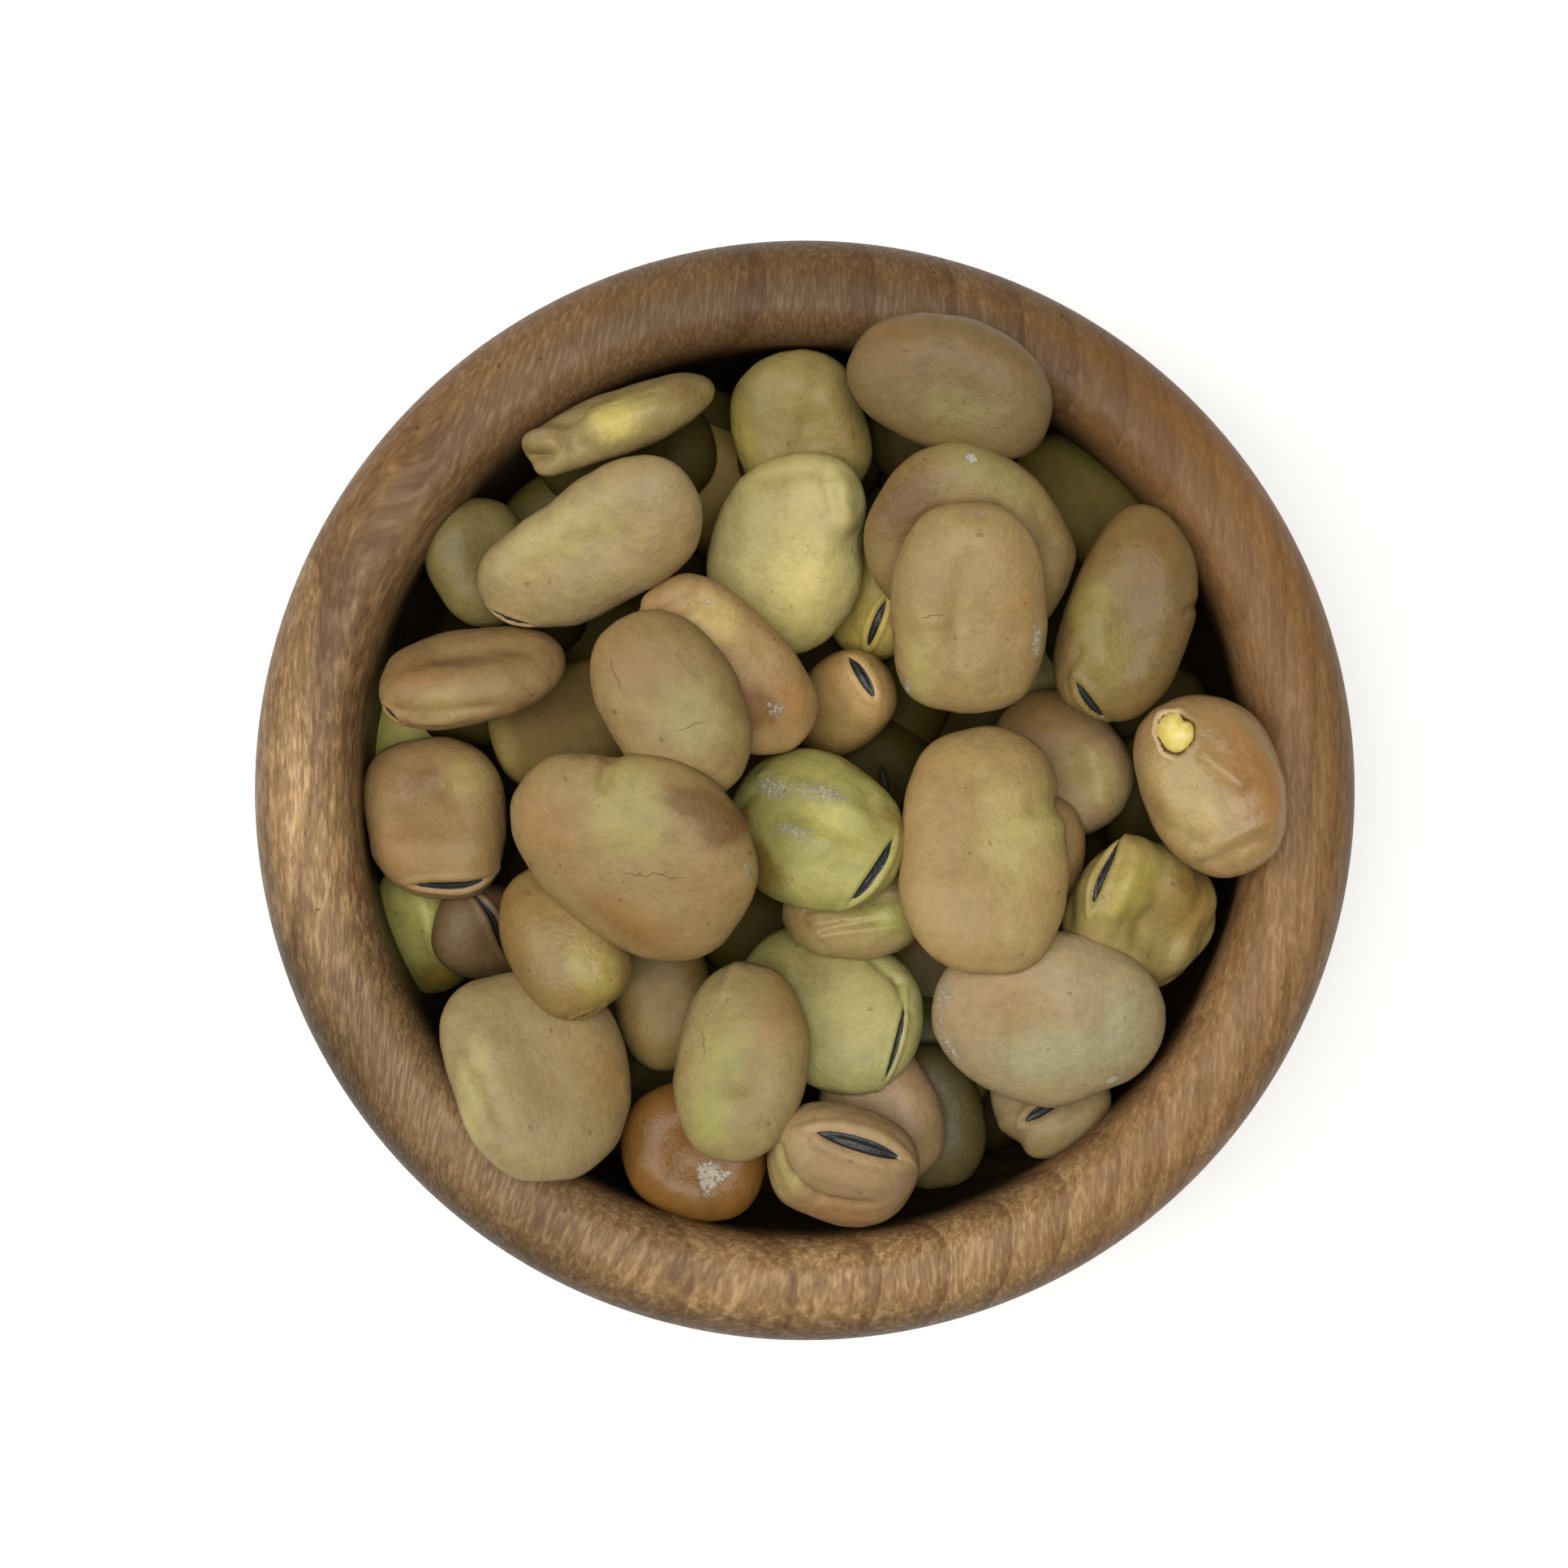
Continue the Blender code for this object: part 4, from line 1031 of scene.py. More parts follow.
@dataclass(frozen=True)
class Fit:
    """How a settled bean is drawn: with its own edge, and moved or stretched a little.

    ``edge`` holds angles from the scarred end, in degrees, each followed by how far from
    the middle the edge lies there over the reach of a plain oval. ``slide`` is in
    millimetres, ``swing`` in degrees towards +Y, and ``grow`` stretches length, width
    and thickness.
    """

    edge: Plan = ()
    slide: tuple[float, float, float] = (0.0, 0.0, 0.0)
    swing: float = 0.0
    grow: tuple[float, float, float] = (1.0, 1.0, 1.0)


PLAIN_FIT = Fit()

FITS = {
    "kidney": Fit((-175, 1.02, -152, 1.04, -134, 0.95, -99, 0.82, -66, 0.73, -40, 0.76, -27, 0.9, -11, 1.04,
        5, 1.05, 29, 0.98, 57, 0.99, 115, 0.98, 143, 1.05, 165, 1.01)),
    "olive_north": Fit((-116, 1.05, -75, 0.95, -47, 1.05, -24, 1.05, -1, 1.09, 23, 1.04, 47, 1.04, 70, 0.98,
        99, 0.93, 180, 1)),
    "olive_west": Fit((-48, 0.95, -16, 0.93, 15, 0.97, 42, 1.05, 80, 1.01, 118, 0.9, 155, 0.92, 180, 0.95),
        (-2, 1.6, 0)),
    "russet": Fit((-174, 1.04, -156, 0.95, -114, 0.94, -74, 0.95, -40, 0.98, -10, 1.02, 6, 0.98, 129, 1.03,
        145, 1.04, 164, 1.07), (-0.4, -1.6, 0.3)),
    "rim_south_west": Fit((-179, 1.02, -149, 0.99, -123, 1, -101, 1.05, -76, 1.04, 18, 1.1, 39, 1.16, 50,
        1.13, 65, 1, 96, 0.89, 132, 0.87, 158, 0.98)),
    "block_west": Fit((-159, 1.06, -136, 1.1, -120, 1.06, -65, 0.9, -25, 0.93, 11, 1.09, 35, 1.13, 58, 1.07,
        88, 1.08, 113, 1.06, 140, 0.99, 173, 1.03), (-0.9, -0.5, 0)),
    "tall_east": Fit((-173, 1.04, -152, 0.97, -125, 0.95, -93, 0.99, -70, 0.93, -59, 0.93, -47, 1.04, -34,
        1.06, -16, 1.07, 0, 1.06, 20, 1.01, 42, 0.96, 64, 0.92, 90, 1, 117, 1.07, 139, 1.04, 166, 1)),
    "grey_south": Fit((-168, 0.93, -147, 0.88, -116, 0.97, -79, 1.07, -53, 0.9, -25, 0.9, -3, 1.01, 10, 1,
        31, 0.94, 53, 0.97, 74, 1.02, 168, 0.91, 180, 0.96)),
    "brown_east": Fit((-170, 1.02, -157, 0.98, -137, 0.86, -100, 0.84, -56, 0.89, -31, 1, -18, 1.03, 5,
        0.99, 21, 1.03, 39, 0.99, 76, 0.93, 118, 0.91, 147, 0.86, 173, 0.94)),
    "rim_north": Fit((-163, 1.01, -142, 0.95, -101, 0.93, -52, 0.92, -30, 1.08, -13, 1.08, 6, 1.02, 27,
        0.97, 52, 0.94, 87, 0.97, 127, 0.91, 156, 0.93, 178, 0.99)),
    "crescent": Fit((-176, 1.07, -1, 1.06, 22, 1.02, 46, 0.91, 71, 0.93, 98, 1, 124, 1.02, 146, 1.03, 164,
        1.05)),
    "pear": Fit((-151, 1.04, -121, 1.05, -90, 1.05, -65, 0.93, -50, 0.99, -30, 1.13, -16, 1.12, -3, 1.07,
        24, 0.99, 49, 1, 79, 1.04, 109, 1.03, 180, 1)),
    "mossy": Fit((-150, 1, -93, 1.08, -61, 1.08, -29, 1.1, -8, 1.09, 15, 1.06, 31, 1.02, 66, 0.99, 107,
        1.07, 135, 1.09, 162, 1.09)),
    "largest": Fit((-170, 0.97, -142, 1.04, -118, 1.15, -92, 1.2, -66, 1.04, -43, 0.83, -32, 0.92, -18,
        0.99, 1, 1.04, 19, 0.99, 39, 0.91, 75, 0.91, 115, 0.94, 141, 0.96, 166, 0.96)),
    "pale_south": Fit((-86, 1.1, -58, 1.12, -40, 1.03, -17, 0.93, 6, 0.87, 29, 0.87, 55, 0.92, 100, 1, 180,
        1)),
    "pair_upper": Fit((-158, 0.96, -140, 0.96, -83, 0.97, 0, 1.03, 20, 0.96, 92, 1.02, 129, 0.97, 156, 0.94,
        178, 0.95)),
    "torn_skin": Fit((-171, 0.98, -147, 0.95, -118, 0.96, -79, 1.05, -49, 1.06, -22, 1.01, 3, 1.04, 24,
        1.03, 43, 0.92, 83, 0.95, 117, 0.97, 146, 0.98, 166, 0.99)),
    "beaked": Fit((-144, 0.98, -112, 1.01, -72, 1.03, -37, 0.97, -10, 1, 12, 1.07, 25, 1.03, 81, 1.04, 123,
        1.06, 148, 1.03)),
    "edge_north": Fit(slide=(-0.2, 0.2, 0), swing=4, grow=(1.03, 0.82, 0.84)),
    "edge_west": Fit(grow=(1, 0.95, 0.9)),
    "slim_west": Fit(slide=(-2.6, -1, 1), grow=(1.06, 1, 1)),
    "wrinkled": Fit(slide=(0, 1, -0.6)),
    "edge_middle": Fit(slide=(-0.4, 0, 2)),
    "gap_north": Fit(slide=(0, 1.5, 4)),
    "fold_south": Fit(slide=(3, -2.8, 1.2), grow=(0.8, 1, 1)),
    "prop_edge_north": Fit(slide=(-3, 1, -4)),
    "moss_north_east": Fit(slide=(2.2, 2.2, 0.5)),
    "umber_east": Fit(slide=(-2, -2.4, 0)),
    "umber_west": Fit(slide=(1.2, 0.3, 0)),
    "slim_south": Fit(slide=(0.3, 1.3, 0)),
    "rose_south": Fit(slide=(-1.9, 0.5, 0)),
    "pale_east": Fit(slide=(0.2, -0.7, 0)),
    "gap_west": Fit(slide=(-3.4, 0.2, 1.5)),
}


@dataclass(frozen=True)
class Spots:
    """Places on a bean: angles from its scarred end, shares from the middle of a face at
    0 to the edge at 1, and sides, 1 for the upper face and -1 for the lower one."""

    angle: Array
    share: Array
    side: Array | float


@dataclass(frozen=True)
class BeanForm:
    """What all the beans' forms have in common, and how finely they are meshed."""

    pillow: float = 2.7
    blunt_end: float = 0.04
    full_end: float = 0.06
    notch_reach: float = 0.22
    dimple_reach: float = 0.45
    bend_level: float = 0.35
    scale: float = 0.985
    crowding: float = 0.3
    edge_blur: Plan = (-12.0, -6.0, 0.0, 6.0, 12.0)
    lump_size: float = 6.5
    wave_size: float = 2.6
    wave_share: float = 0.3
    shown_grid: int = 30
    scarred_grid: int = 40
    low_grid: int = 22
    hidden_grid: int = 12

    def outline(self, bean: Bean, angle: Array) -> tuple[Array, Array]:
        """The bean's edge in plan.

        Args:
            bean: The bean.
            angle: Angles from its scarred end.

        Returns:
            The edge's x and y.
        """
        cos, sin = np.cos(angle), np.sin(angle)
        reach = (np.abs(cos / (bean.length / 2.0)) ** bean.square
                 + np.abs(sin / (bean.width / 2.0)) ** bean.square) ** (-1.0 / bean.square)
        return reach * cos, reach * sin

    def surface(self, bean: Bean, spots: Spots) -> Array:
        """Points of the plain skin that a bean settles with, in its own frame.

        Args:
            bean: The bean.
            spots: Where they lie on it.

        Returns:
            The points.
        """
        edge_x, edge_y = self.outline(bean, spots.angle)
        x, y = edge_x * spots.share, edge_y * spots.share
        along = x / (bean.length / 2.0)
        x = x * (1.0 - self.blunt_end * np.clip(along, 0.0, 1.0) ** 4)
        y = y * (1.0 + bean.egg * along)
        on_side = np.clip(bean.notch_side * y / (bean.width / 2.0), 0.0, 1.0) ** 2
        dent = bean.notch * np.exp(-((along - bean.notch_at) / self.notch_reach) ** 2)
        y = y * (1.0 - dent * on_side)
        y = y + bean.bend * (self.bend_level - along ** 2)
        return np.stack([x, y, self.height(bean, along, spots)], axis=-1)

    def height(self, bean: Bean, along: Array, spots: Spots) -> Array:
        """How high the skin lies over the bean's mid plane.

        Args:
            bean: The bean.
            along: Where the spots are along it, from -1 to 1.
            spots: The spots.

        Returns:
            A height for each spot.
        """
        swell = np.sqrt(np.clip(1.0 - spots.share ** self.pillow, 0.0, 1.0))
        swell = swell * (1.0 + self.full_end * along)
        hollow = bean.dimple * np.exp(-(spots.share / self.dimple_reach) ** 2)
        return spots.side * (bean.thick / 2.0 * swell - hollow)

    def drawn(self, bean: Bean, spots: Spots) -> Array:
        """Points of the skin as it is drawn, with the bean's own edge where it has one.

        Args:
            bean: The bean.
            spots: Where they lie on it.

        Returns:
            The points.
        """
        fit = FITS.get(bean.name, PLAIN_FIT)
        if not fit.edge:
            return self.surface(bean, spots) * np.array(fit.grow)
        angles, factors = np.array(fit.edge).reshape(-1, 2).T
        turned_to = np.degrees(spots.angle)[:, None] + np.array(self.edge_blur)
        factor = np.interp(turned_to, angles, factors, period=360.0).mean(axis=1)
        x, y = (edge * spots.share for edge in self.outline(bean, spots.angle))
        z = self.height(bean, x / (bean.length / 2.0), spots)
        return np.stack([x * factor, y * factor, z], axis=-1)

    def grid_for(self, bean: Bean) -> int:
        """How finely a bean is meshed.

        Args:
            bean: The bean.

        Returns:
            How many faces lie along each side of its six patches.
        """
        if bean in UNSEEN_BEANS:
            return self.hidden_grid
        if any(isinstance(d, (Scar, Tear)) for d in bean.details):
            return self.scarred_grid
        return self.shown_grid if bean in RAISED_BEANS else self.low_grid

    def skin(self, bean: Bean, seed: int) -> Skin:
        """Meshes one bean with its relief and its stains.

        Args:
            bean: The bean.
            seed: What its uneven swellings are drawn from.

        Returns:
            The dressed skin.
        """
        ball, faces = quad_ball(self.grid_for(bean))
        angle = np.arctan2(ball[:, 1], ball[:, 0])
        angle = angle - self.crowding * np.sin(angle)
        share = np.minimum(np.hypot(ball[:, 0], ball[:, 1]), 1.0)
        spots = Spots(angle, share, np.sign(ball[:, 2]))
        skin = Skin(self.drawn(bean, spots) * self.scale, faces)
        raised = uneven(skin.place, seed, self.lump_size, bean.lumps)
        raised = raised + uneven(skin.place, seed + 500, self.wave_size,
                                 bean.lumps * self.wave_share)
        for detail in bean.details:
            raised = raised + detail.relief(skin)
            detail.colour(skin)
        skin.place = skin.place + skin.normal * raised[:, None]
        return skin


def quad_ball(count: int) -> tuple[Array, Array]:
    """A unit ball of six square patches.

    Args:
        count: Faces along each side of a patch.

    Returns:
        Its points, and four corners for each face.
    """
    steps = np.tan(np.linspace(-math.pi / 4.0, math.pi / 4.0, count + 1))
    a, b = (g.ravel() for g in np.meshgrid(steps, steps, indexing="ij"))
    one = np.ones_like(a)
    patches = [np.stack(p, axis=1) for p in (
        (one, a, b), (-one, b, a), (b, one, a), (a, -one, b), (a, b, one), (b, a, -one))]
    points = np.concatenate(patches)
    points /= np.linalg.norm(points, axis=1, keepdims=True)
    first = np.arange(count * (count + 1)).reshape(count, count + 1)[:, :-1].ravel()
    square = np.stack([first, first + count + 1, first + count + 2, first + 1], axis=1)
    faces = np.concatenate([square + k * (count + 1) ** 2 for k in range(6)])
    _, kept, number = np.unique(points.round(6), axis=0, return_index=True,
                                return_inverse=True)
    return points[kept], number.ravel()[faces]


def uneven(place: Array, seed: int, size: float, height: float) -> Array:
    """Smooth swellings, as a sum of waves in seeded random directions.

    Args:
        place: Where they are read.
        seed: What they are drawn from.
        size: The length of a wave.
        height: How high they are.

    Returns:
        A height for each point.
    """
    random = np.random.default_rng(seed)
    total = np.zeros(len(place))
    waves = 6
    for _ in range(waves):
        way = random.normal(size=3)
        way *= 2.0 * math.pi / size * random.uniform(0.6, 1.4) / np.linalg.norm(way)
        total += np.sin(place @ way + random.uniform(0.0, 2.0 * math.pi))
    return total * height / math.sqrt(waves / 2.0)


def rotation(turn: float, pitch: float, roll: float) -> Array:
    """Rotation that rolls a bean, then pitches it, then turns it.

    Args:
        turn: About Z, in degrees.
        pitch: How far the scarred end rises, in degrees.
        roll: How far the left side rises, in degrees.

    Returns:
        The rotation's matrix.
    """
    t, p, r = (math.radians(a) for a in (turn, pitch, roll))
    rolled = np.array([[1, 0, 0], [0, math.cos(r), -math.sin(r)],
                       [0, math.sin(r), math.cos(r)]])
    pitched = np.array([[math.cos(p), 0, -math.sin(p)], [0, 1, 0],
                        [math.sin(p), 0, math.cos(p)]])
    turned = np.array([[math.cos(t), -math.sin(t), 0],
                       [math.sin(t), math.cos(t), 0], [0, 0, 1]])
    return turned @ pitched @ rolled


def mesh_piece(name: str, points: Array, faces: Sequence[Sequence[int]],
               material: Material) -> Object:
    """Makes a smooth-shaded object.

    Args:
        name: Its name.
        points: Its points, in millimetres.
        faces: The corners of each face.
        material: Its material.

    Returns:
        The new object.
    """
    mesh = bpy.data.meshes.new(name)
    mesh.from_pydata((points * MM).tolist(), [], faces)
    mesh.materials.append(material)
    mesh.shade_smooth()
    piece = bpy.data.objects.new(name, mesh)
    bpy.context.scene.collection.objects.link(piece)
    return piece


def carry(piece: Object, node: str) -> Object:
    """Hangs a piece on the part, in place of one of its nodes.

    Args:
        piece: The piece.
        node: The node.

    Returns:
        The piece.
    """
    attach(piece, "root")
    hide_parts(node)
    log.info("%s: %d faces", piece.name, len(piece.data.polygons))
    return piece


def turned(profile: Sequence[tuple[float, float]], segments: int) -> tuple[Array, list]:
    """A closed turned solid.

    Args:
        profile: Distances from the axis and heights; both ends lie on the axis.
        segments: How many sides it has.

    Returns:
        Its points and faces, which look outward for a profile that runs down the outside.
    """
    angles = 2.0 * math.pi * np.arange(segments) / segments
    points, rings = [], []
    for radius, height in profile:
        count = 1 if radius < 1e-6 else segments
        rings.append([len(points) + k for k in range(count)])
        points += [(radius * math.cos(a), radius * math.sin(a), height)
                   for a in angles[:count]]
    faces = []
    for first, second in zip(rings, rings[1:]):
        for k in range(segments):
            j = k + 1
            corners = [first[k % len(first)], second[k % len(second)],
                       second[j % len(second)], first[j % len(first)]]
            faces.append(list(dict.fromkeys(corners)))
    return np.array(points), faces


@dataclass
class Bowl:
    """The turned bowl: a deep round hollow, a thick rounded rim and a small flat foot."""

    outer_radius: float = 60.0
    height: float = 54.0
    shoulder_height: float = 48.0
    belly_height: float = 42.0
    foot_radius: float = 31.0
    foot_rounding: float = 1.2
    mouth_radius: float = 48.5
    mouth_height: float = 49.0
    crown_inner: float = 52.5
    crown_outer: float = 54.0
    hollow_radius: float = 49.0
    hollow_bottom: float = 10.0
    hollow_shoulder: float = 40.0
    hollow_power: float = 2.6
    wall_power: float = 2.3
    segments: int = 240
    wall_steps: int = 28
    lip_steps: int = 12
    finish: WoodFinish = field(default_factory=WoodFinish)

    def inner_height(self, radius: Array) -> Array:
        """Height of the hollow, up to its shoulder.

        Args:
            radius: Distances from the axis.

        Returns:
            A height for each distance.
        """
        share = np.minimum(radius / self.hollow_radius, 1.0) ** self.hollow_power
        depth = self.hollow_shoulder - self.hollow_bottom
        return self.hollow_shoulder - depth * (1.0 - share) ** (1.0 / self.hollow_power)

    def inner_radius(self, height: Array) -> Array:
        """Free distance from the axis in the hollow.

        Args:
            height: Heights over the foot.

        Returns:
            A distance for each height.
        """
        depth = self.hollow_shoulder - self.hollow_bottom
        low = np.clip((self.hollow_shoulder - height) / depth, 0, 1)
        curved = self.hollow_radius * (1.0 - low ** self.hollow_power) ** (
            1.0 / self.hollow_power)
        rise = self.mouth_height - self.hollow_shoulder
        up = np.clip((height - self.hollow_shoulder) / rise, 0, 1)
        return curved + (self.mouth_radius - self.hollow_radius) * up

    def rim_height(self, radius: Array) -> Array:
        """Height of the rounded rim, past the mouth.

        Args:
            radius: Distances from the axis.

        Returns:
            A height for each distance.
        """
        made = self.height
        for start, end, low in ((self.crown_inner, self.mouth_radius, self.mouth_height),
                                (self.crown_outer, self.outer_radius, self.shoulder_height)):
            share = np.clip((radius - start) / (end - start), 0, 1)
            made = made - (self.height - low) * (1.0 - np.sqrt(1.0 - share ** 2))
        return made

    def profile(self) -> list[tuple[float, float]]:
        """The half section, from the middle of the hollow over the rim to the foot.

        Returns:
            Distances from the axis and heights.
        """
        wall_turn = np.radians(np.linspace(0.0, 90.0, self.wall_steps + 1))
        lip_turn = np.radians(np.linspace(0.0, 90.0, self.lip_steps + 1))
        depth = self.hollow_shoulder - self.hollow_bottom
        power = 2.0 / self.hollow_power
        hollow = [(self.hollow_radius * math.sin(a) ** power,
                   self.hollow_shoulder - depth * max(math.cos(a), 0.0) ** power)
                  for a in wall_turn]
        reach, rise = self.crown_inner - self.mouth_radius, self.height - self.mouth_height
        inner = [(self.crown_inner - reach * math.cos(a), self.mouth_height + rise * math.sin(a))
                 for a in lip_turn]
        reach, rise = self.outer_radius - self.crown_outer, self.height - self.shoulder_height
        outer = [(self.crown_outer + reach * math.sin(a),
                  self.shoulder_height + rise * math.cos(a)) for a in lip_turn]
        power = 2.0 / self.wall_power
        reach = self.outer_radius - self.foot_radius
        wall = [(self.foot_radius + reach * math.sin(a) ** power,
                 max(self.belly_height * (1.0 - max(math.cos(a), 0.0) ** power),
                     self.foot_rounding)) for a in reversed(wall_turn)]
        foot = [(self.foot_radius - self.foot_rounding, 0.0), (0.0, 0.0)]
        return hollow + inner + outer + wall + foot

    def build(self) -> Object:
        """Makes the bowl.

        Returns:
            The bowl's piece, in place of its CAD node.
        """
        points, faces = turned(self.profile(), self.segments)
        piece = mesh_piece("wooden_bowl", points, faces, self.finish.build())
        piece.data.set_sharp_from_angle(angle=math.radians(50.0))
        return carry(piece, "bowl")


@dataclass
class Laid:
    """A bean with its rotation and the place of its middle."""

    bean: Bean
    way: Array
    place: Array

    def bring(self, points: Array, top_level: float) -> Array:
        """Brings points from the bean's own frame to where it is drawn.

        Args:
            points: The points.
            top_level: The heap's highest level.

        Returns:
            The points in the bowl's frame.
        """
        fit = FITS.get(self.bean.name, PLAIN_FIT)
        way = rotation(fit.swing, 0.0, 0.0) @ self.way
        found = points @ way.T + self.place + np.array(fit.slide)
        found[:, 2] -= max(found[:, 2].max() - top_level, 0.0)
        return found


@dataclass
class Heap:
    """The beans: their resting places over the bowl, and their pieces, one for each tone."""

    bowl: Bowl
    core_middle: float = 34.0
    core_edge: float = 28.0
    core_dome: float = 5.0
    core_gap: float = 0.4
    core_rings: int = 16
    core_segments: int = 96
    core_lump_size: float = 15.0
    core_lumps: float = 0.9
    # Painted shade: how dark the core is drawn
    core_shade: float = 0.6
    wall_gap: float = 0.7
    skin_gap: float = 0.4
    gap_sink: float = 4.5
    deep_sink: float = 2.2
    top_sink: float = 1.3
    tilt_cost: float = 0.05
    tilt_steps: int = 9
    finer_tilt: float = 4.0
    cell: float = 0.75
    margin: float = 2.0
    nudge: float = 0.05
    nudges: int = 12
    ring_points: int = 14
    rings: tuple[Plan, ...] = (
        (0.0, 1.0), (0.55, 1.0), (0.86, 1.0), (1.0, 1.0), (0.72, -1.0), (0.0, -1.0))
    top_level: float = 63.9
    # Painted shade: below a level that falls towards the wall, the skins are drawn darker, down to the
    # darkest share
    light_level: float = 50.5
    level_fall: float = 7.0
    painted_shade_depth: float = 12.0
    darkest: float = 0.4
    kernel_size: Plan = (2.3, 2.0, 1.0)
    kernel_place: Plan = (6.45, 0.15, 3.5)
    kernel_dome: float = 0.1
    kernel_grid: int = 20
    cleft_turn: float = -62.0
    cleft_depth: float = 0.26
    cleft_width: float = 0.3
    form: BeanForm = field(default_factory=BeanForm)
    skin_finish: SkinFinish = field(default_factory=SkinFinish)
    deep_finish: SkinFinish = field(default_factory=lambda: SkinFinish(mirror=0.06))
    kernel_finish: KernelFinish = field(default_factory=KernelFinish)
    placed: list[Laid] = field(default_factory=list)

    def __post_init__(self) -> None:
        """Lays out the height field over the bowl."""
        edge = self.bowl.outer_radius + self.margin
        self.axis = np.arange(-edge, edge + self.cell / 2.0, self.cell)
        self.x, self.y = np.meshgrid(self.axis, self.axis, indexing="ij")
        radius = np.hypot(self.x, self.y)
        lift = self.top_sink + self.skin_gap
        inside = np.maximum(self.core_height(radius), self.bowl.inner_height(radius) + lift)
        over_rim = self.bowl.rim_height(radius) + lift
        self.top = np.where(radius > self.bowl.mouth_radius, over_rim, inside)

    def core_height(self, radius: Array) -> Array:
        """Height of the core's dished top over a distance from the axis."""
        fall = (self.core_edge - self.core_middle) * (
            radius / self.bowl.mouth_radius) ** self.core_dome
        return self.core_middle + fall

    def faces(self, turned_by: Array, half: Array, centre: Array) -> tuple:
        """Lower and upper face of an ellipsoid at height 0.

        Args:
            turned_by: Its rotation.
            half: Its half sizes.
            centre: Its middle in plan.

        Returns:
            The cells, which of them it covers, and its lower and upper heights there.
        """
        form = turned_by @ np.diag(1.0 / half ** 2) @ turned_by.T
        reach = half.max()
        i = slice(*np.searchsorted(self.axis, (centre[0] - reach, centre[0] + reach)))
        j = slice(*np.searchsorted(self.axis, (centre[1] - reach, centre[1] + reach)))
        dx, dy = self.x[i, j] - centre[0], self.y[i, j] - centre[1]
        slope = form[0, 2] * dx + form[1, 2] * dy
        rest = form[0, 0] * dx * dx + 2.0 * form[0, 1] * dx * dy + form[1, 1] * dy * dy
        inner = slope ** 2 - form[2, 2] * (rest - 1.0)
        root = np.sqrt(np.clip(inner, 0.0, None))
        low, high = (-slope - root) / form[2, 2], (-slope + root) / form[2, 2]
        return (i, j), inner > 0.0, low, high

    def height_of(self, turned_by: Array, half: Array, centre: Array) -> float:
        """Height at which an ellipsoid comes to rest."""
        cells, covered, low, _ = self.faces(turned_by, half, centre)
        return np.where(covered, self.top[cells] - low, -np.inf).max()

    def drop(self, bean: Bean, sink: float, guess: float) -> None:
        """Settles one bean: finds its tilt and place, and adds it to the heap.

        Args:
            bean: The bean.
            sink: How far it sinks into what it lies on.
            guess: About how high it will lie.
        """
        half = np.array([bean.length, bean.width, bean.thick]) / 2.0
        height = guess
        for _ in range(2):
            aim = self.seen_point(bean.seen, height)
            best = (np.inf, 0.0, 0.0)
            for reach in (bean.free, bean.free / self.finer_tilt):
                tilts = np.linspace(-reach, reach, self.tilt_steps)
                for tip, heel in product(tilts + best[1], tilts + best[2]):
                    way = rotation(bean.turn, bean.pitch + tip, bean.roll + heel)
                    centre = self.inside_mouth(bean, way, half, aim)
                    cost = self.height_of(way, half, centre)
                    cost += self.tilt_cost * (abs(tip) + abs(heel))
                    if cost < best[0]:
                        best = (cost, tip, heel)
            way = rotation(bean.turn, bean.pitch + best[1], bean.roll + best[2])
            centre = self.inside_mouth(bean, way, half, aim)
            height = min(self.height_of(way, half, centre) - sink, bean.cap)
        place = self.clear_of_bowl(bean, way, np.array([*centre, height]))
        cells, covered, _, high = self.faces(way, half, place[:2])
        raised = np.maximum(self.top[cells], place[2] + high)
        self.top[cells] = np.where(covered, raised, self.top[cells])
        self.placed.append(Laid(bean, way, place))

    def seen_point(self, pixel: tuple[float, float], height: float) -> Array:
        """The point over the foot that the eye sees at a pixel, at a height."""
        scale = (EYE_HEIGHT + self.bowl.height - height) / EYE_HEIGHT / PIXELS_PER_MM
        return np.array([EYE_X + (pixel[0] - EYE_PIXEL[0]) * scale,
                         EYE_Y - (pixel[1] - EYE_PIXEL[1]) * scale])

    def inside_mouth(self, bean: Bean, way: Array, half: Array, centre: Array) -> Array:
        """Moves a bean's middle in until its plan clears the wall.

        Args:
            bean: The bean, which stays where it is if it lies on the rim.
            way: Its rotation.
            half: Its half sizes.
            centre: Its middle in plan.

        Returns:
            Its middle, moved in.
        """
        if bean.on_rim:
            return centre
        spread = (way @ np.diag(half ** 2) @ way.T)[:2, :2]
        angles = np.radians(np.arange(0.0, 360.0, 10.0))
        ways = np.stack([np.cos(angles), np.sin(angles)])
        reach = np.sqrt(np.einsum("ik,ij,jk->k", ways, spread, ways))
        for _ in range(3):
            edge = centre[:, None] + spread @ ways / reach
            far = np.hypot(*edge)
            k = far.argmax()
            over = far[k] - (self.bowl.mouth_radius - self.wall_gap)
            if over <= 0.0:
                break
            centre = centre - edge[:, k] / far[k] * (over + self.nudge)
        return centre

